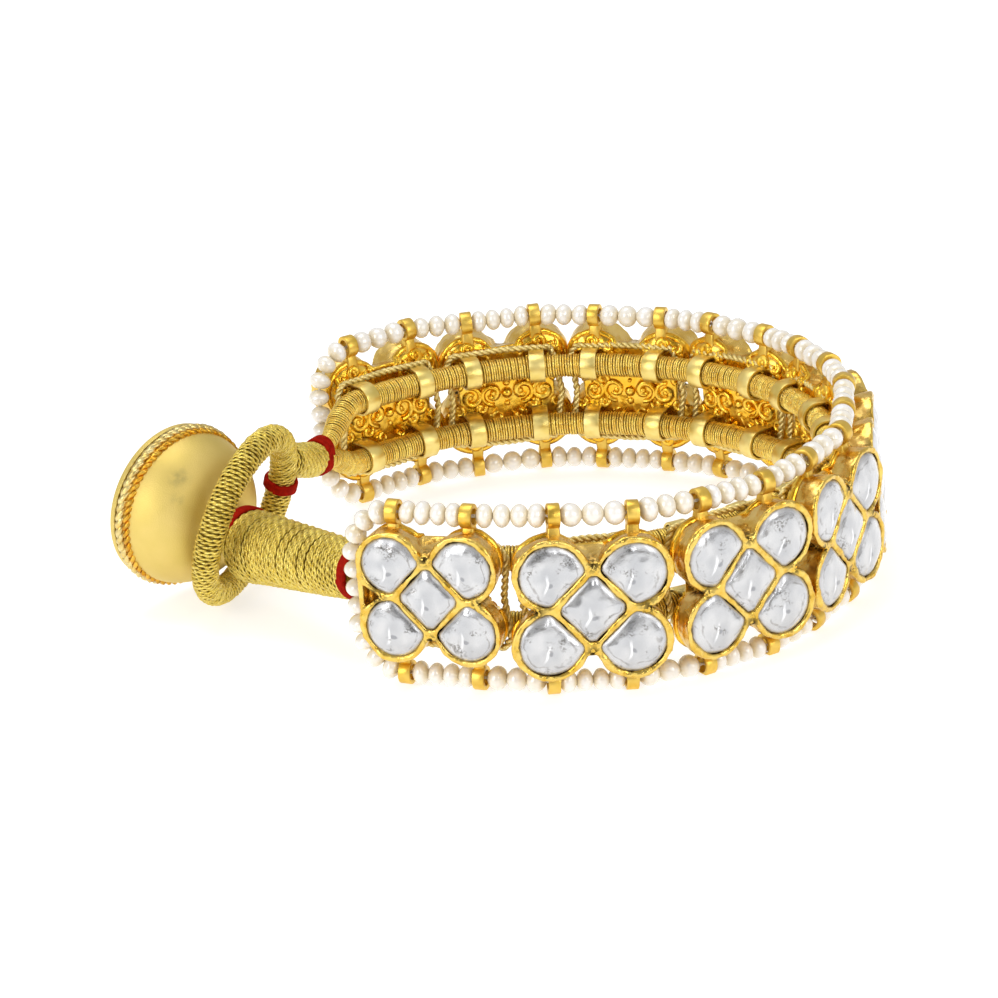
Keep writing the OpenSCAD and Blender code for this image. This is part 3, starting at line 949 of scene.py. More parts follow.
def pearls_at_end(turn, numbers):
    """The pearls with these numbers on the bend at one end."""
    length = (END_LENGTH - LOOP_W - (ROUND_END + 1) * END_GAP) / ROUND_END
    made = []
    for k in numbers:
        s = LOOP_W / 2 + END_GAP + length / 2 + k * (length + END_GAP)
        way = (end_at(turn, s + 0.1) - end_at(turn, s - 0.1)).normalized()
        made.append(pearl(end_at(turn, s), way, length))
    return made


def pearl_string(name, up, over, following):
    """One whole string, with half of the pearls of both bends."""
    made = []
    for i in range(PLAQUE_COUNT):
        made += pearls_between(loop_at(i, -1, up), loop_at(i, 1, up), over[i], 0)
    for i in range(PLAQUE_COUNT - 1):
        made += pearls_between(loop_at(i, 1, up), loop_at(i + 1, -1, up), following[i], 0.09)
    half = ROUND_END // 2
    for turn in DOWN_UP:
        made += pearls_at_end(turn, range(half + 1) if up > 0 else range(half + 1, ROUND_END))
    piece = joined(f"seed_{name}", made)
    made_by_hand(piece, 0.12, 0.04)
    return hand_over(piece, "pearl", name)


pearl_string("pearls_upper", 1, UPPER_OVER, UPPER_NEXT)
pearl_string("pearls_lower", -1, LOWER_OVER, LOWER_NEXT)

# %% [markdown]
# The pearls ride on a thin white thread that runs through every loop. Two fine plies are
# twisted together for it.

# %% Twisted threads


def along_route(route, count, closed=False):
    """Points at even steps of length along a route."""
    route = np.asarray([tuple(point) for point in route], float)
    if closed:
        route = np.vstack([route, route[:1]])
    far = np.concatenate([[0], np.cumsum(np.linalg.norm(np.diff(route, axis=0), axis=1))])
    steps = np.linspace(0, far[-1], count + 1)[:count if closed else count + 1]
    return np.stack([np.interp(steps, far, route[:, k]) for k in range(3)], axis=1)


def unit(rows):
    """The same ways, each with a length of 1."""
    return rows / np.linalg.norm(rows, axis=1, keepdims=True)


def ways(route, up, closed=False):
    """At each point of a route: the way on, a way to the side and the way square to both."""
    if closed:
        ahead = np.roll(route, -1, 0) - np.roll(route, 1, 0)
    else:
        ahead = np.gradient(route, axis=0)
    ahead = unit(ahead)
    side = unit(np.cross(np.asarray(up, float), ahead))
    return ahead, side, np.cross(ahead, side)


def twisted(route, up, plies, off, lay, per_lay=8, closed=False):
    """Routes of plies that twist round one route, each at a distance off from it."""
    steps = np.diff(np.asarray([tuple(point) for point in route]), axis=0)
    twists = max(1, round(np.linalg.norm(steps, axis=1).sum() / lay))
    places = along_route(route, twists * per_lay, closed)
    ahead, side, square = ways(places, up, closed)
    found = []
    for ply in range(plies):
        turn = 2 * np.pi * (np.arange(len(places)) / per_lay + ply / plies)
        found.append(places + off * (np.cos(turn)[:, None] * side + np.sin(turn)[:, None] * square))
    return found


print("threads can be twisted")

# %% [markdown]
# A thread that is wound on is a coil round a coil. First the middle of the thread runs round
# the part, and then each ply runs round that middle. A hand never winds quite evenly, so slow
# waves let the turns crowd a little here and part a little there.

# %% Wound threads
# the slow waves in which a hand winds: turns for each wave, against the number of turns
CROWDING = ((0.13, 1), (0.37, 2), (0.71, 0))
FINE_STEPS = 400


def wound(route, up, radius, turns, plies, off, twists, per_twist, closed=False, wander=0.0, rise=0.0):
    """Routes of a thread's plies, when the thread is wound round a route.

    radius gives the distance from the route for each share of its length. The thread makes
    so many turns, and its plies twist so many times in each turn. wander lets the turns
    crowd and part by that many turns, and rise lets them ride over one another by so much.
    """
    per_turn = round(twists * per_twist)
    count = turns * per_turn
    share = np.arange(count if closed else count + 1) / count
    angle = 2 * np.pi * share * turns
    waves = [(round(turns * pace), offset) for pace, offset in CROWDING]
    roam = sum(np.sin(2 * np.pi * share * wave + offset) for wave, offset in waves) / 3
    edge = 1 if closed else np.minimum(1, np.minimum(share, 1 - share) * turns)
    moved = share + wander / turns * roam * edge
    fine = along_route(route, FINE_STEPS, closed)
    if closed:
        moved = moved % 1
        fine = np.vstack([fine, fine[:1]])
    grid = np.arange(FINE_STEPS + 1) / FINE_STEPS
    centre = np.stack([np.interp(moved, grid, fine[:, k]) for k in range(3)], axis=1)
    ahead = np.gradient(fine, axis=0)
    if closed:
        ahead[0] = ahead[-1] = fine[1] - fine[-2]
    ahead = unit(np.stack([np.interp(moved, grid, ahead[:, k]) for k in range(3)], axis=1))
    side = unit(np.cross(np.asarray(up, float), ahead))
    square = np.cross(ahead, side)
    out = np.cos(angle)[:, None] * side + np.sin(angle)[:, None] * square
    bumps = np.sin(2 * np.pi * share * round(turns * 0.61))
    bumps = bumps * np.sin(2 * np.pi * share * round(turns * 1.37) + 0.5)
    far = np.asarray([radius(s) for s in share]) + rise * bumps * edge
    found = []
    for ply in range(plies):
        turn = 2 * np.pi * (np.arange(len(share)) / per_twist + ply / plies)
        outwards = (far + off * np.cos(turn))[:, None] * out
        found.append(centre + outwards + (off * np.sin(turn))[:, None] * ahead)
    return found


def keep_height(thread, route, inner, rise):
    """Keeps how far out each point of a thread lies, from 0 at the inner distance to 1."""
    tree = KDTree(len(route))
    for k, point in enumerate(route):
        tree.insert(point, k)
    tree.balance()
    found = [tree.find(point.co)[1:] for point in thread.data.vertices]
    paint(thread, "high", [(far - inner(k / len(route))) / rise for k, far in found])


def thread_piece(name, slot, core, routes, thickness, node, around=None, closed=False, sides=4):
    """Joins a core, which a gilt finish paints as deep shade, and the thread round it into one piece."""
    thread = strand("thread", routes, thickness, closed, sides)
    paint(thread, "high", 1)
    if around:
        keep_height(thread, *around)
    made = [thread]
    if core:
        # the core counts as deepest, so the gilt finish gives it painted shade
        paint(core, "high", 0)
        made.append(core)
    return hand_over(joined(name, made), slot, node)


# the white thread through the pearls
upper_way = [loop_at(i, side, 1) for i in range(PLAQUE_COUNT) for side in DOWN_UP]
lower_way = [loop_at(i, -side, -1) for i in reversed(range(PLAQUE_COUNT)) for side in DOWN_UP]
bends = [[end_at(turn, END_LENGTH * k / 12) for k in range(1, 12)] for turn in (1, -1)]
string_way = upper_way + bends[0] + lower_way + bends[1][::-1]
plies = twisted(string_way, (0.3, 0.2, 1), 2, 0.09, 1.1, per_lay=6, closed=True)
thread_piece("white_thread", "pearl_thread", None, plies, 0.2, "pearl_thread", closed=True)

# %% [markdown]
# The two cords are wrapped in gold thread so fine that a turn is less than a third of a
# millimetre wide. The wrapping is real here too: one long coil that follows each cord round the wrist
# and draws in where the cord joins its neighbour at both ends. Below it lies a core, painted dark
# as the shade between the turns.

# %% Cords
CORD_START = -131.1
CORD_SPREAD = -122.8
CORD_GATHER = 132.9
CORD_GATHERED = 146.4
CORD_END = 149.4
NECK_PATH_R = 27.7
STEM_PATH_R = 27.4
GATHERED_Z = 0.85
GATHERED_R = 0.92
CORD_PITCH = 0.29
CORD_STEPS = 240
CORD_THREAD = 0.28
THREAD_SINK = 0.09


def ease(t):
    """A soft step from 0 to 1."""
    t = min(1, max(0, t))
    return t * t * (3 - 2 * t)


def cord_at(share):
    """How far a cord has left its two ends, and how far inwards it runs there."""
    angle = CORD_START + share * (CORD_END - CORD_START)
    at_stem = ease((CORD_SPREAD - angle) / (CORD_SPREAD - CORD_START))
    at_neck = ease((angle - CORD_GATHER) / (CORD_GATHERED - CORD_GATHER))
    inward = (CORD_PATH_R - STEM_PATH_R) * at_stem + (CORD_PATH_R - NECK_PATH_R) * at_neck
    return angle, (1 - at_stem) * (1 - at_neck), inward


def cord_place(share, up):
    """A place on the middle line of the upper or lower cord."""
    angle, spread, inward = cord_at(share)
    off_middle = GATHERED_Z + (CORD_Z - GATHERED_Z) * spread
    return polar(CORD_PATH_R - inward, angle, MID_Z + up * off_middle)


def cord_radius(share):
    """The cord's radius, which draws in at its gathered ends."""
    return GATHERED_R + (CORD_R - GATHERED_R) * min(1, 2 * cord_at(share)[1])


def cord_thread_at(share):
    """How far the middle of the wrapping lies from the cord's middle line."""
    return cord_radius(share) - THREAD_SINK


def core_tube(route, radii, sides):
    """A plain round tube along a route, with a radius for each point."""
    widest = max(radii)
    count = len(route) - 1
    return strand("core", [route], 2 * widest, sides=sides,
                  taper=lambda share: radii[round(share * count)] / widest)


shares = [k / CORD_STEPS for k in range(CORD_STEPS + 1)]
for name, up in (("cord_upper", 1), ("cord_lower", -1)):
    route = [cord_place(share, up) for share in shares]
    core = core_tube(route, [cord_radius(share) - 0.13 for share in shares], 12)
    length = sum((there - here).length for here, there in zip(route, route[1:]))
    turns = round(length / CORD_PITCH)
    routes = wound(route, (0, 0, 1), cord_thread_at, turns, 1, 0, 1, 14, wander=0.2, rise=0.02)
    around = (along_route(route, 900), cord_thread_at, CORD_THREAD / 2)
    thread_piece(f"wrapped_{name}", "cord_gold", core, routes, CORD_THREAD, name, around)
    print(name, "is", round(length, 1), "mm long, with", turns, "turns of thread")

# %% [markdown]
# Between the cords and the flowers, pale gold thread lashes all together. It runs as a plait
# along the top and the bottom of each flower's back, and slants down through the gaps.

# %% Lashings
LASH_W = 6.2
LASH_H = 5.4
LASH_Y = BACK_Y - 0.65
lash_corners = [
    (-LASH_W, -LASH_H + 1.4), (-LASH_W + 0.7, -LASH_H + 0.3), (0, -LASH_H + 0.1),
    (LASH_W - 0.9, -LASH_H + 0.3), (LASH_W - 0.5, -LASH_H + 1.4), (LASH_W + 0.2, 0),
    (LASH_W - 0.5, LASH_H - 1.4), (LASH_W - 0.9, LASH_H - 0.3), (0, LASH_H - 0.1),
    (-LASH_W + 0.7, LASH_H - 0.3), (-LASH_W, LASH_H - 1.4), (-LASH_W + 0.5, 0)]
lash_routes = []
lash_middles = []
for i in range(PLAQUE_COUNT):
    corners = [on_plaque(i) @ Vector((x, LASH_Y, z)) for x, z in lash_corners]
    lash_routes += twisted(corners, (0.1, 0.2, 0.1), 2, 0.18, 1.3, per_lay=8, closed=True)
    lash_middles += list(along_route(corners, 300, closed=True))
around = (lash_middles, lambda share: 0.05, 0.35)
thread_piece("lashing_plaits", "lashing", None, lash_routes, 0.44, "lashing_threads", around,
             closed=True, sides=6)

# %% [markdown]
# The clasp is wrapped in a thicker thread of two plies with a clear twist. The plies catch
# the light one by one, and between them the core shows, painted dark as shade. So the thread
# is really wound here: a coil round the part, and two plies that twist round the coil.

# %% Closing loop
CLOSING_HEADING = 157
CLOSING_PITCH = 19
CLOSING_R = 8.4
CLOSING_CORD_R = 1.45
# the plies' thickness, how far they lie off the thread's middle, and how far out they reach
PLY = 0.28
PLY_OFF = 0.095
PLY_RISE = PLY / 2 + PLY_OFF
PLY_SINK = 0.22
RING_TURNS = 132
RING_STEPS = 180


def facing(heading_deg, pitch_deg):
    """Turns what faces up to this heading and pitch."""
    turned_up = Matrix.Rotation(math.radians(90 - pitch_deg), 4, "Y")
    return Matrix.Rotation(math.radians(heading_deg), 4, "Z") @ turned_up


closing_at = Vector((-30.8, -2.5, MID_Z + 0.1))
ring_place = Matrix.Translation(closing_at) @ facing(CLOSING_HEADING, CLOSING_PITCH)
ring_place = ring_place @ Matrix.Rotation(math.radians(-90), 4, "Z")
ring_axis = ring_place.to_3x3() @ Vector((0, 0, 1))


def ring_at(angle):
    """A place on the middle line of the closing loop."""
    return ring_place @ polar(CLOSING_R, angle, 0)


def ring_thread_at(share):
    """How far the middle of the thread lies from the loop's middle line."""
    return CLOSING_CORD_R - PLY_SINK


ring_route = [ring_at(360 * k / RING_STEPS) for k in range(RING_STEPS)]
let_go()
bpy.ops.mesh.primitive_torus_add(
    major_segments=96, minor_segments=12, major_radius=CLOSING_R, minor_radius=CLOSING_CORD_R - 0.26)
core = smooth(put(last_made("core"), ring_place))
routes = wound(ring_route, ring_axis, ring_thread_at, RING_TURNS, 2, PLY_OFF, 4.75, 6,
               closed=True, wander=0.14, rise=0.04)
around = (ring_route, ring_thread_at, PLY_RISE)
thread_piece("wound_closing_loop", "wrapped_thread", core, routes, PLY, "closing_loop", around,
             closed=True)

# %% [markdown]
# A short neck ties the loop to the gathered ends of both cords. It is wound in the same way,
# and draws in where it meets the loop.

# %% Neck of the closing loop
NECK_R = 1.9
NECK_DEG = -24
NECK_PITCH = 0.44
NECK_STEPS = 60
neck_from = Vector((-24.3, 13.3, MID_Z))
neck_to = ring_at(NECK_DEG)
neck_end = neck_to - (neck_to - neck_from).normalized() * 0.5
neck_length = (neck_end - neck_from).length


def neck_radius(share):
    """The neck draws in where it meets the ring."""
    last_bit = max(0, share * neck_length - neck_length + 1.6) / 1.6
    return NECK_R - 0.9 * (1 - math.sqrt(max(0, 1 - last_bit ** 2)))


def neck_thread_at(share):
    """How far the middle of the thread lies from the neck's middle line."""
    return neck_radius(share) - PLY_SINK


shares = [k / NECK_STEPS for k in range(NECK_STEPS + 1)]
neck_route = [neck_from.lerp(neck_end, share) for share in shares]
core = core_tube(neck_route, [neck_radius(share) - 0.3 for share in shares], 16)
neck_turns = round(neck_length / NECK_PITCH)
routes = wound(neck_route, (0, 0, 1), neck_thread_at, neck_turns, 2, PLY_OFF, 7.25, 6,
               wander=0.2, rise=0.04)
around = (along_route(neck_route, 300), neck_thread_at, PLY_RISE)
thread_piece("wound_neck", "wrapped_thread", core, routes, PLY, "loop_neck", around)

# %% [markdown]
# The stem holds the button off the band. It is thicker towards the button, where more turns
# lie over one another, and both of its ends keep a seat for a red binding.

# %% Stem of the button
BAND_W = 1.1
BAND_T = 0.4
SEAT_W = BAND_W + 0.2
STEM_START_R = 2.85
STEM_END_R = 3.75
STEM_PLY = 0.31
STEM_PLY_OFF = 0.11
STEM_PLY_RISE = 0.26
STEM_PLY_SINK = 0.24
STEM_TURNS = 46
STEM_STEPS = 30
SHOULDER = 0.6
stem_from = Vector((-18.3, -20, MID_Z - 0.45))
stem_to = Vector((-31, -3.8, MID_Z - 2.5))
stem_way = (stem_to - stem_from).normalized()
stem_length = (stem_to - stem_from).length
wrap_from = stem_from + stem_way * SEAT_W
wrap_length = stem_length - 2 * SEAT_W + 0.3
wrap_to = wrap_from + stem_way * wrap_length


def stem_radius(share):
    """The stem swells towards the button and rounds off into its shoulder there."""
    swollen = STEM_START_R + (STEM_END_R - STEM_START_R) * min(1, share * 1.1)
    last_bit = max(0, share - (1 - SHOULDER / wrap_length)) * wrap_length / SHOULDER
    return swollen - SHOULDER * (1 - math.sqrt(max(0, 1 - last_bit ** 2)))


def stem_thread_at(share):
    """How far the middle of the thread lies from the stem's middle line."""
    return stem_radius(share) - STEM_PLY_SINK


shares = [k / STEM_STEPS for k in range(STEM_STEPS + 1)]
seat_radii = [STEM_START_R - BAND_T - 0.03] * 3
core_radii = seat_radii + [stem_radius(share) - 0.32 for share in shares] + seat_radii
core_route = [stem_from, stem_from + stem_way * 0.6, wrap_from]
core_route += [wrap_from + stem_way * (wrap_length * share) for share in shares]
core_route += [wrap_to, stem_to - stem_way * 0.5, stem_to]
core = core_tube(core_route, core_radii, 24)
routes = wound([wrap_from, wrap_to], (0, 0, 1), stem_thread_at, STEM_TURNS, 2, STEM_PLY_OFF, 11.25, 6,
               wander=0.4, rise=0.06)
around = (along_route([wrap_from, wrap_to], 400), stem_thread_at, STEM_PLY_RISE)
thread_piece("wound_stem", "wrapped_thread", core, routes, STEM_PLY, "button_stem", around)

# %% [markdown]
# Silk thread in a warm red finishes each wrapped part. It is wound on tightly, turn against
# turn, so that the turns almost melt together.

# %% Red bindings


def binding(name, route, up, radius):
    """Five turns of silk round a route, over a core that closes the gaps."""
    routes = wound(route, up, lambda share: radius, 5, 1, 0, 1, 36)
    core = core_tube(route, [radius - 0.08] * len(route), 24)
    piece = strand("thread", routes, 0.46, sides=8)
    return hand_over(joined(f"red_{name}", [piece, core]), "red_thread", name)


stem_band = [stem_from + stem_way * 0.2, stem_from + stem_way * 1.25]
binding("stem_binding", stem_band, (0, 0, 1), STEM_START_R - 0.2)
# the stem hangs a little from the button, so this one sits high on its end
hang = Vector((0, 0, 1.2))
button_band = [stem_to - stem_way * 1.3 + hang, stem_to - stem_way * 0.2 + hang]
binding("button_binding", button_band, (0, 0, 1), STEM_START_R - 0.2)
BINDING_DEG = -7.2
band_deg = math.degrees(BAND_W / CLOSING_R)
ring_band = [ring_at(BINDING_DEG + band_deg * (0.08 + 0.84 * k / 6)) for k in range(7)]
binding("closing_loop_binding", ring_band, ring_axis, CLOSING_CORD_R + 0.12)

# %% [markdown]
# The last binding holds the two cords together where the neck begins, so its turns are long
# loops with round ends.

# %% Red binding of both cords
# it goes round both cords at once, in a long loop with round ends
GRIP_TURNS = 4
GRIP_STEPS = 40
STRAIGHT = 0.6
REACH = 1.25
grip_from = polar(NECK_PATH_R, CORD_END - 2.4, MID_Z)
grip_way = (polar(NECK_PATH_R, CORD_END, MID_Z) - grip_from).normalized()
grip_side = Vector((0, 0, 1)).cross(grip_way).normalized()
grip = []
for k in range(GRIP_TURNS * GRIP_STEPS + 1):
    angle = 2 * math.pi * k / GRIP_STEPS
    swing = math.sin(angle)
    lift = math.copysign(STRAIGHT, swing) * min(1, abs(swing) * 4) + REACH * swing
    forward = (BAND_W + 0.3) * k / (GRIP_TURNS * GRIP_STEPS) - 0.05
    place = grip_from + grip_way * forward + grip_side * (REACH * math.cos(angle))
    grip.append(place + Vector((0, 0, lift)))
thread_piece("red_loop_neck_binding", "red_thread", None, [grip], 0.5, "loop_neck_binding", sides=8)

# %% [markdown]
# The button is a deep dome of sheet gold with two twisted wires round its rim. Its section is
# drawn once and spun about its axis, as a dome is spun or raised over a stake.

# %% Button
DOME_R = 8.12
DOME_DEPTH = 7.3
BUTTON_HEADING = 135
BUTTON_PITCH = 7
SHANK_R = 0.9
FACE_TOP = DOME_DEPTH + 1.44
button_at = Vector((-32.5, -4.3, MID_Z - 0.25))
button_place = Matrix.Translation(button_at) @ facing(BUTTON_HEADING, BUTTON_PITCH)

dome_section = [(0, 0)]
for k in range(25):
    angle = math.pi / 2 * k / 24
    out = DOME_R - DOME_DEPTH + DOME_DEPTH * math.sin(angle)
    dome_section.append((out, DOME_DEPTH * (1 - math.cos(angle))))
dome_section += [
    (DOME_R - 0.1, DOME_DEPTH + 0.35), (DOME_R - 0.1, DOME_DEPTH + 0.55), (DOME_R + 0.16, DOME_DEPTH + 0.6),
    (DOME_R + 0.2, DOME_DEPTH + 0.8), (DOME_R + 0.16, DOME_DEPTH + 1.2), (DOME_R - 0.05, DOME_DEPTH + 1.38),
    (DOME_R - 0.9, DOME_DEPTH + 1.42), (0, FACE_TOP)]
dome = smooth(spun("dome", dome_section), 35)
paint(dome, "part", 0)
heights = points_of(dome)[:, 2] - DOME_DEPTH
# the seam between the rim's plate and the outer wire, darkened in the finish as grime and painted shade
paint(dome, "seam", np.clip(1.3 - np.abs(heights - 0.45) / 0.16, 0, 1))


def rope(r, z, thickness, off, lobes, part, seam):
    """A ring of two twisted wires, each of this thickness and so far off the ring's middle."""
    ring = [Vector(polar(r, 360 * k / 180, z)) for k in range(180)]
    length = 2 * math.pi * r
    routes = twisted(ring, (0, 0, 1), 2, off, length / (lobes / 2), per_lay=10, closed=True)
    piece = strand("rope", routes, thickness, closed=True, sides=6)
    paint(piece, "part", part)
    paint(piece, "seam", seam)
    return piece


outer_rope = rope(DOME_R, DOME_DEPTH - 0.1, 0.76, 0.17, 58, 1, 0.25)
inner_rope = rope(DOME_R - 0.12, DOME_DEPTH - 0.98, 0.5, 0.21, 62, 2, 0.35)
print("points in the dome:", len(dome.data.vertices))

# %% [markdown]
# The face of the button is turned away from the camera. It is kept plain: a ring of low lobes
# round a boss, all of sheet gold. A shank inside the stem holds the button.

# %% Face and shank of the button


def low_cone(name, low_r, top_r, depth, middle):
    """One raised lobe of the face."""
    let_go()
    bpy.ops.mesh.primitive_cone_add(
        vertices=32, radius1=low_r, radius2=top_r, depth=depth, location=middle)
    return put(last_made(name), Matrix())


face_parts = [low_cone("lobe", 2.1, 1.6, 0.8, polar(5, 45 * k, FACE_TOP + 0.15)) for k in range(8)]
face_parts.append(low_cone("boss", 2.6, 1.8, 1.1, (0, 0, FACE_TOP + 0.2)))
face_piece = filed(joined("face", face_parts), 0.15, 3)
paint(face_piece, "part", 0)
button = put(joined("button", [dome, face_piece, outer_rope, inner_rope]), button_place)
bpy.ops.mesh.primitive_cylinder_add(vertices=20, radius=SHANK_R, depth=5)
along_stem = stem_way.to_track_quat("Z", "Y").to_matrix().to_4x4()
shank = put(last_made("shank"), Matrix.Translation(stem_to - stem_way * 0.8) @ along_stem)
paint(shank, "part", 0)
hand_over(joined("domed_button", [button, smooth(shank, 50)]), "button_gold", "button")

# %% [markdown]
# Every finish is worked out point by point from numbers: the place on the piece, how deep it
# lies, and soft random patterns. So that such sums read like sums, a value that runs through
# a finish can be added to, multiplied and mixed like a plain number.

# %% Tools for finishes


class Value:
    """A number or a colour that runs through a finish."""

    def __init__(self, nodes, socket):
        self.nodes = nodes
        self.socket = socket

    def reckon(self, operation, *others):
        inputs = dict(enumerate((self,) + others))
        return self.nodes.node("ShaderNodeMath", {"operation": operation}, inputs)

    def __add__(self, other):
        return self.reckon("ADD", other)

    __radd__ = __add__

    def __sub__(self, other):
        return self.reckon("SUBTRACT", other)

    def __rsub__(self, other):
        return self.reckon("MULTIPLY", -1.0).reckon("ADD", other)

    def __mul__(self, other):
        return self.reckon("MULTIPLY", other)

    __rmul__ = __mul__

    def between(self, low, high):
        """0 below low, 1 above high, and a soft step from one to the other."""
        sockets = {"Value": self, "From Min": low, "From Max": high}
        return self.nodes.node("ShaderNodeMapRange", {"interpolation_type": "SMOOTHSTEP"}, sockets)


class Nodes:
    """A tree of nodes in which values are reckoned."""

    def __init__(self, tree):
        self.tree = tree

    def node(self, kind, settings=None, sockets=None, output=0):
        """Adds a node with its settings and sockets, and gives one of its outputs as a value."""
        node = self.tree.nodes.new(kind)
        for name, value in (settings or {}).items():
            setattr(node, name, value)
        for name, value in (sockets or {}).items():
            if isinstance(value, Value):
                self.tree.links.new(value.socket, node.inputs[name])
            else:
                node.inputs[name].default_value = value
        return Value(self, node.outputs[output])


class Finish(Nodes):
    """A material that is put together from values."""

    def __init__(self, name):
        self.material = bpy.data.materials.new(name)
        self.material.use_nodes = True
        super().__init__(self.material.node_tree)
        self.shader = self.tree.nodes["Principled BSDF"]

    def place(self):
        """The place on the piece in millimetres."""
        where = self.node("ShaderNodeTexCoord", output="Object")
        return self.node("ShaderNodeMapping", None, {"Vector": where, "Scale": [1 / MM] * 3})

    def kept(self, name):
        """The number that was kept with each point under this name."""
        return self.node("ShaderNodeAttribute", {"attribute_name": name}, output="Fac")

    def clouds(self, size, detail=2.0, contrast=0.25):
        """Soft random patches about as large as size in millimetres, from 0 to 1."""
        sockets = {"Vector": self.place(), "Scale": 1 / size, "Detail": detail}
        patches = self.node("ShaderNodeTexNoise", None, sockets)
        return patches.between(0.5 - contrast, 0.5 + contrast)

    def mix(self, share, first, second):
        """A colour between the first, where the share is 0, and the second, where it is 1."""
        sockets = {0: share, 6: first, 7: second}
        return self.node("ShaderNodeMix", {"data_type": "RGBA"}, sockets, output=2)

    def bumped(self, height, depth, over=None):
        """A surface raised by height, where 1 is so deep in millimetres."""
        sockets = {"Height": height, "Distance": depth * MM}
        if over:
            sockets["Normal"] = over
        return self.node("ShaderNodeBump", None, sockets)

    def wear(self, **sockets):
        """Sets the shader's own sockets. An underscore in a name stands for a space."""
        for name, value in sockets.items():
            socket = self.shader.inputs[name.replace("_", " ")]
            if isinstance(value, Value):
                self.tree.links.new(value.socket, socket)
            else:
                socket.default_value = value
        return self.material


def rgb(red, green, blue):
    """A colour from its values from 0 to 255 as a screen shows them."""
    def linear(value):
        share = value / 255
        return share / 12.92 if share <= 0.04045 else ((share + 0.055) / 1.055) ** 2.4
    return (linear(red), linear(green), linear(blue), 1)


finishes = {}
print("tools for finishes are ready")

# %% [markdown]
# The rims and bars are pure gold, pressed on as foil. They are a clear yellow and burnished,
# but full of small dents. The walls and the back are a redder gold, darker where polish and
# skin have left grime in the pits, and with painted shade in the notches, in the first flower's
# hollow and on the staples' legs. The strip of the loops and staples is duller, and painted
# paler on the staples as a painted highlight.

# %% Gold of the flowers


def flower_gold():
    """Burnished rims, redder walls and back, grime and painted shade, and paler strip with a painted
    highlight on the staples.
    """
    finish = Finish("flower gold")
    depth = finish.kept("depth")
    part = finish.kept("part")
    pit = finish.kept("pit")
    rim = depth.between(0.8, 0.97)
    strip = part.between(1.4, 1.6)
    relief_part = part.between(0.4, 0.6) * (1 - strip)
    patches = finish.clouds(1.6)
    grains = finish.clouds(0.25, detail=3)
    small = finish.clouds(0.7, detail=2, contrast=0.18)
    wall = finish.mix(patches, rgb(222, 178, 80), rgb(246, 214, 132))
    face = finish.mix(patches, rgb(206, 160, 48), rgb(238, 202, 98))
    face = finish.mix(small * 0.5, face, rgb(246, 220, 132))
    gold = finish.mix(rim, wall, face)
    chased = relief_part + (1 - depth.between(0.02, 0.14)) * (1 - strip)
    chased_gold = finish.mix(patches, rgb(240, 186, 50), rgb(255, 216, 92))
    gold = finish.mix(chased.between(0.0, 1.0), gold, chased_gold)
    loop_gold = finish.mix(patches, rgb(222, 182, 74), rgb(240, 206, 106))
    gold = finish.mix(strip, gold, loop_gold)
    # painted highlight: the staples are painted paler than the same strip on the loops
    painted_highlight_staple_gold = finish.mix(patches, rgb(230, 204, 112), rgb(248, 228, 150))
    gold = finish.mix(part.between(2.4, 2.6), gold, painted_highlight_staple_gold)
    # grime in the pits, and painted shade in the notches, the hollow and on the staples' legs
    grime_and_shade = pit * finish.clouds(0.35, detail=3, contrast=0.06).between(0.0, 0.6)
    gold = finish.mix(grime_and_shade, gold, rgb(52, 38, 16))
    rough = 0.2 + 0.14 * patches + 0.12 * strip + 0.3 * grime_and_shade
    surface = finish.bumped(finish.clouds(1.0, detail=1) * (1 - strip * 0.8), 0.06)
    surface = finish.bumped(small * rim * (1 - strip), 0.018, over=surface)
    surface = finish.bumped(grains, 0.006, over=surface)
    return finish.wear(Base_Color=gold, Metallic=1.0, Roughness=rough, Normal=surface)


finishes["plaque_gold"] = flower_gold()
print("nodes in the flowers' gold:", len(finishes["plaque_gold"].node_tree.nodes))

# %% [markdown]
# A polki stone lies on silver foil in a shallow cup, and most of what one sees is the foil
# through the clear stone. So the finish is silver, with soft cloudy dents in its surface, and
# a clear coat over it that follows the stone's own crown. Old stones have cracks and specks.

# %% Foiled diamond


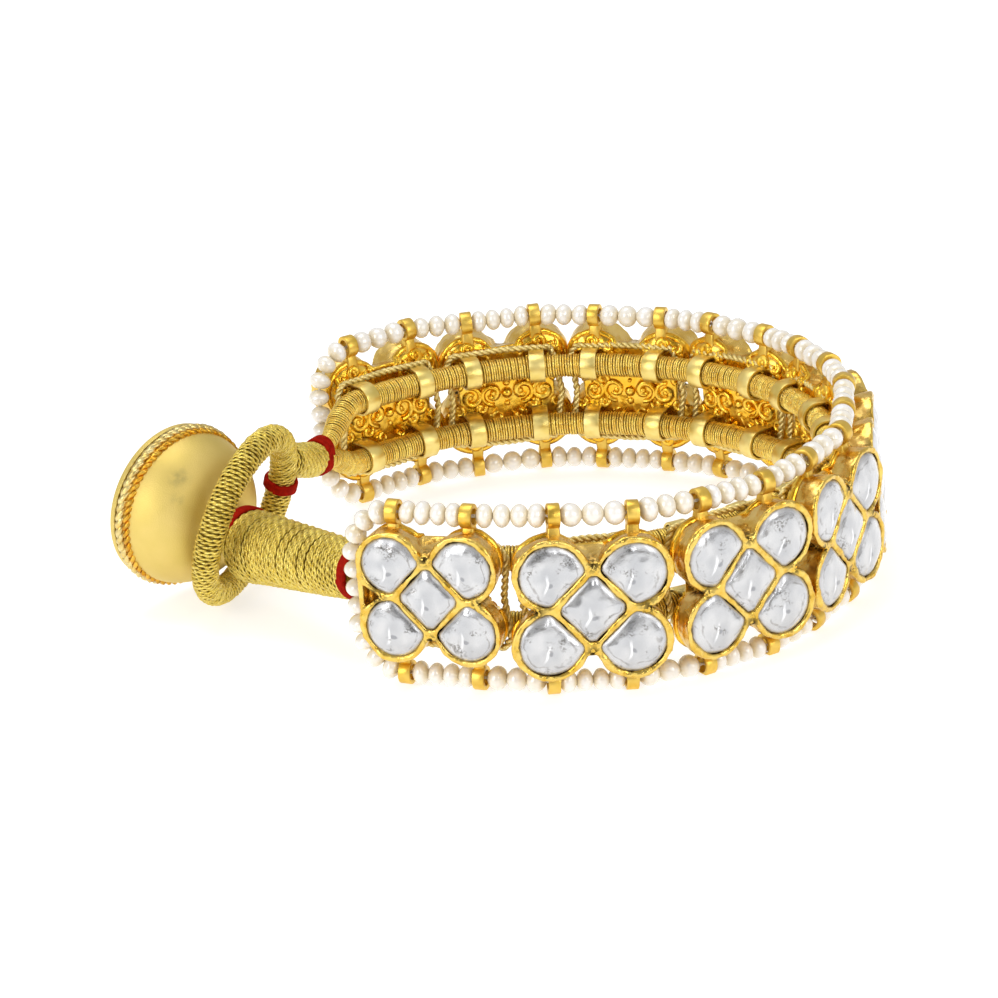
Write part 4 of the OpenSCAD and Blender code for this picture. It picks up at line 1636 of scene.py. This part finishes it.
def foiled_diamond():
    """Silver foil with its specks, painted reflections, a painted highlight and painted shade at the edge,
    under a clear coat.
    """
    finish = Finish("foiled diamond")
    across = finish.kept("across")
    along = finish.kept("along")
    edge = finish.kept("edge")
    patches = finish.clouds(1.7, detail=1)
    wisps = finish.clouds(0.7, detail=3, contrast=0.1)
    silver = finish.mix(patches, rgb(190, 191, 194), rgb(210, 210, 211))
    # a thin grey line follows the edge
    off_edge_line = edge + patches * 0.3 - 0.5
    edge_line = 1 - (off_edge_line * off_edge_line).between(0.0, 0.004)
    silver = finish.mix(edge_line * wisps * 0.55, silver, rgb(120, 114, 108))
    # painted shade: the stone darkens towards its edge, where it meets the gold
    silver = finish.mix(edge.between(0.5, 0.95) * (wisps * 0.6 + 0.25), silver, rgb(118, 106, 92))
    # each stone has a small grey spot a little below its middle, a painted reflection of the camera
    aside = across + patches * 0.6 - 0.3
    below = along + 0.7
    camera_reflection = 1 - (aside * aside + below * below).between(0.01, 0.1)
    silver = finish.mix(camera_reflection * 0.7, silver, rgb(104, 106, 112))
    # a darker band down the middle is a painted reflection of the dark gap round the camera, and a white
    # streak beside it is a painted highlight
    band = across + patches * 0.5 - 0.25
    silver = finish.mix((1 - (band * band).between(0.1, 1.2)) * 0.22, silver, rgb(150, 152, 158))
    # painted highlight: the white streak beside the band
    bent = across - 0.45 - along * along * 0.14 + patches * 0.3
    painted_streak = (1 - (bent * bent).between(0.0, 0.03)) * along.between(-1.9, -1.0)
    painted_streak = painted_streak * (1 - along.between(-0.3, 0.5))
    silver = finish.mix(painted_streak * 0.75, silver, rgb(252, 252, 255))
    specks = finish.clouds(0.2, contrast=0.03).between(0.9, 1.0) * finish.clouds(1.5).between(0.7, 1.0)
    silver = finish.mix(specks * 0.7, silver, rgb(84, 78, 68))
    rough = 0.17 + 0.1 * patches + 0.25 * edge.between(0.35, 0.8)
    cup = finish.bumped(finish.clouds(2.4, detail=1), 0.1)
    cup = finish.bumped(wisps, 0.004, over=cup)
    return finish.wear(Base_Color=silver, Metallic=0.75, Roughness=rough, Normal=cup,
                       Coat_Weight=1 - 0.85 * edge.between(0.3, 0.75), Coat_Roughness=0.04, Coat_IOR=1.7)


finishes["stone"] = foiled_diamond()
print("nodes in the foiled diamond:", len(finishes["stone"].node_tree.nodes))

# %% [markdown]
# Seed pearls are white with a bright skin. Some are warmer than others, and all of them are
# painted darker and yellower towards their two poles, where the holes are, as painted shade and a
# painted reflection of the gold. Their thread is plain and white.

# %% Pearls and their thread


def seed_pearl():
    """White with a bright skin, and warmer at the holes as painted shade and painted reflection of the
    gold.
    """
    finish = Finish("seed pearl")
    tint = finish.kept("tint")
    patches = finish.clouds(0.8)
    pole = finish.kept("pole").between(0.3, 0.95)
    white = finish.mix(tint, rgb(246, 244, 243), rgb(242, 237, 228))
    # painted shade and painted reflection of the gold: darker and yellower towards the poles
    white = finish.mix(patches * 0.25 + pole * 0.5, white, rgb(228, 208, 158))
    surface = finish.bumped(finish.clouds(0.6), 0.02)
    return finish.wear(
        Base_Color=white, Roughness=0.24, Normal=surface,
        Specular_IOR_Level=1.0, Coat_Weight=1.0, Coat_Roughness=0.1, Coat_IOR=1.7)


def white_thread():
    """A soft white thread."""
    finish = Finish("white thread")
    shade = finish.mix(finish.clouds(0.4), rgb(232, 224, 205), rgb(246, 240, 228))
    return finish.wear(Base_Color=shade, Roughness=0.7)


finishes["pearl"] = seed_pearl()
finishes["pearl_thread"] = white_thread()
print("finishes so far:", len(finishes))

# %% [markdown]
# Gilt thread is a narrow strip of gilt metal round a silk core. It glitters: each spot takes
# the light at its own angle, and painted glints add pale spots. The clasp's thread is a pale
# greenish gold, and the fine thread of the cords is warmer. Where the thread lies deep, and on
# the core between the turns, it is darkened with painted shade.

# %% Threads


def gilt_thread(name, low, high, deep_shade, sparkle):
    """Gilt between these two colours, with painted glints that sparkle so much, and painted shade where it
    lies deep.
    """
    finish = Finish(name)
    outer = finish.kept("high").between(-0.3, 0.7)
    patches = finish.clouds(1.1)
    glints = finish.clouds(0.13, detail=1, contrast=0.12)
    gilt = finish.mix(patches, low, high)
    # painted glints: pale spots on the outer parts of the thread
    gilt = finish.mix(glints * outer * sparkle * 0.5, gilt, rgb(255, 240, 160))
    # painted shade: the deep parts of the thread and the core take the deep_shade colour
    gilt = finish.mix(outer, deep_shade, gilt)
    rough = 0.55 - 0.15 * outer - 0.15 * sparkle * glints
    surface = finish.bumped(glints, 0.02)
    return finish.wear(Base_Color=gilt, Metallic=0.85, Roughness=rough, Normal=surface)


def red_silk():
    """A dull, warm red."""
    finish = Finish("red silk")
    shade = finish.mix(finish.clouds(0.5), rgb(138, 15, 3), rgb(168, 26, 7))
    surface = finish.bumped(finish.clouds(0.12), 0.02)
    return finish.wear(Base_Color=shade, Roughness=0.85, Normal=surface, Specular_IOR_Level=0.08)


# each thread: its low and high gilt, the painted shade of its deep parts, and how much it sparkles
finishes["cord_gold"] = gilt_thread(
    "cord thread", rgb(232, 180, 50), rgb(255, 222, 98), rgb(112, 70, 10), 1.0)
finishes["lashing"] = gilt_thread(
    "lashing thread", rgb(222, 198, 126), rgb(248, 228, 160), rgb(84, 64, 28), 0.7)
finishes["wrapped_thread"] = gilt_thread(
    "clasp thread", rgb(214, 182, 58), rgb(248, 222, 100), rgb(96, 70, 14), 0.9)
finishes["red_thread"] = red_silk()
print("finishes so far:", len(finishes))

# %% [markdown]
# The dome of the button is satin gold, rubbed by sleeves, with a few faint grey smudges. The
# twisted wires round its rim are a brighter and warmer gold. Along the seam between the rim's
# plate and its wire, and in patches on the wires, the gold is darkened with grime and painted shade.

# %% Gold of the button
# grey marks on the dome: where they are, and how far each spreads in mm
SMUDGES = [((-36.79, -5.33, 15.2), 1.7), ((-37.13, -6.44, 13.28), 1.0)]


def button_gold():
    """Satin on the dome, bright wire, and a redder wire inside it."""
    finish = Finish("button gold")
    part = finish.kept("part")
    wire = part.between(0.4, 0.6)
    inner_wire = part.between(1.4, 1.6)
    patches = finish.clouds(4.0, detail=3)
    seam = finish.kept("seam")
    smudges = 0.0
    for spot, size in SMUDGES:
        ends = {0: finish.place(), 1: spot}
        off = finish.node("ShaderNodeVectorMath", {"operation": "DISTANCE"}, ends, output="Value")
        smudges = (1 - off.between(0.0, size)) + smudges
    smudges = smudges * finish.clouds(0.8)
    satin = finish.mix(patches, rgb(220, 196, 110), rgb(230, 206, 126))
    satin = finish.mix(smudges * 0.4, satin, rgb(120, 112, 84))
    bright = finish.mix(finish.clouds(0.9), rgb(228, 196, 110), rgb(248, 230, 164))
    orange = finish.mix(finish.clouds(0.9), rgb(216, 150, 30), rgb(246, 200, 84))
    bright = finish.mix(inner_wire, bright, orange)
    gold = finish.mix(wire, satin, bright)
    # grime and painted shade along the seam and in patches on the wires
    gold = finish.mix(seam * finish.clouds(0.45, detail=3, contrast=0.12), gold, rgb(74, 50, 18))
    rough = 0.5 - 0.22 * wire + 0.06 * patches
    grain = finish.clouds(0.12, detail=3)
    surface = finish.bumped(grain, 0.012)
    return finish.wear(Base_Color=gold, Metallic=1.0, Roughness=rough, Normal=surface)


finishes["button_gold"] = button_gold()
print("finishes:", len(finishes))

# %% [markdown]
# A piece carries the name of its finish, so one loop dresses them all. What stays of the frame
# is given the flowers' gold.

# %% Each piece gets its finish
for piece in pieces:
    piece.data.materials.clear()
    piece.data.materials.append(finishes[piece["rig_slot"]])
for node in frame["nodes"].values():
    node.data.materials.clear()
    node.data.materials.append(finishes["plaque_gold"])
print("pieces with a finish:", len(pieces))

# %% [markdown]
# The bracelet was photographed on a white table in a white tent. Bright cloth stands above
# and at the sides, and the only dark thing that metal and stones can mirror is the camera
# with the gap round it. Those few dark reflections are what makes them look hard and clear.

# %% Tent
TENT = 0.62
world = bpy.data.worlds.new("tent")
bpy.context.scene.world = world
world.use_nodes = True
tent = Nodes(world.node_tree)
view = tent.node("ShaderNodeTexCoord", output="Generated")


def toward(direction, low, high):
    """How near a view is to a direction: 0 beyond low degrees from it, and 1 within high."""
    facing_it = tent.node("ShaderNodeVectorMath", {"operation": "DOT_PRODUCT"},
                          {0: view, 1: direction}, output="Value")
    return facing_it.between(math.cos(math.radians(low)), math.cos(math.radians(high)))


aside = tent.node("ShaderNodeSeparateXYZ", None, {0: view}, output="X").reckon("ABSOLUTE")
gap = aside.between(0.3, 0.12) * toward(-look, 80, 55)
bright = TENT - 0.18 * TENT * toward(-look, 62, 28) - 0.42 * TENT * gap
bright = bright - 0.2 * TENT * toward(-look, 12, 6)
cloth_light = world.node_tree.nodes["Background"].inputs
world.node_tree.links.new(bright.socket, cloth_light["Strength"])
cloth_light["Color"].default_value = (1.0, 0.99, 0.97, 1)
print("nodes in the tent:", len(world.node_tree.nodes))

# %% [markdown]
# Four lit cloths light the scene. The one to the left is the brightest, and a narrow one stands
# in front. The bright line on each stone is a painted highlight in its foil. The table is white,
# and glows a little.

# %% Lamps and table


def lamp(name, where, size, power):
    """A square of lit cloth that faces the bracelet. Places and sizes are in millimetres."""
    light = bpy.data.lights.new(name, "AREA")
    light.shape = "RECTANGLE"
    light.size, light.size_y = (side * MM for side in size)
    light.energy = power
    holder = bpy.data.objects.new(name, light)
    holder.location = Vector(where) * MM
    holder.rotation_euler = (-holder.location).to_track_quat("-Z", "Y").to_euler()
    bpy.context.scene.collection.objects.link(holder)
    return holder


lamps = [
    lamp("lamp above", (-60, 60, 420), (260, 260), 0.55),
    lamp("lamp left", (-340, -300, 200), (200, 300), 0.75),
    lamp("lamp right", (330, -320, 220), (140, 280), 0.5),
    lamp("lamp front", (140, -430, 230), (28, 240), 0.18)]
print("lamps:", len(lamps))

let_go()
bpy.ops.mesh.primitive_plane_add(size=3)
table = last_made("table")
cloth = Finish("table")
cloth.wear(Base_Color=(0.66, 0.66, 0.66, 1), Roughness=0.9, Specular_IOR_Level=0.1,
           Emission_Color=(1, 1, 1, 1), Emission_Strength=0.62)
table.data.materials.append(cloth.material)

# %% [markdown]
# Last, the triangles of all the pieces are counted.

# %% Count of triangles
print("triangles:", sum(triangles_in(piece) for piece in pieces))
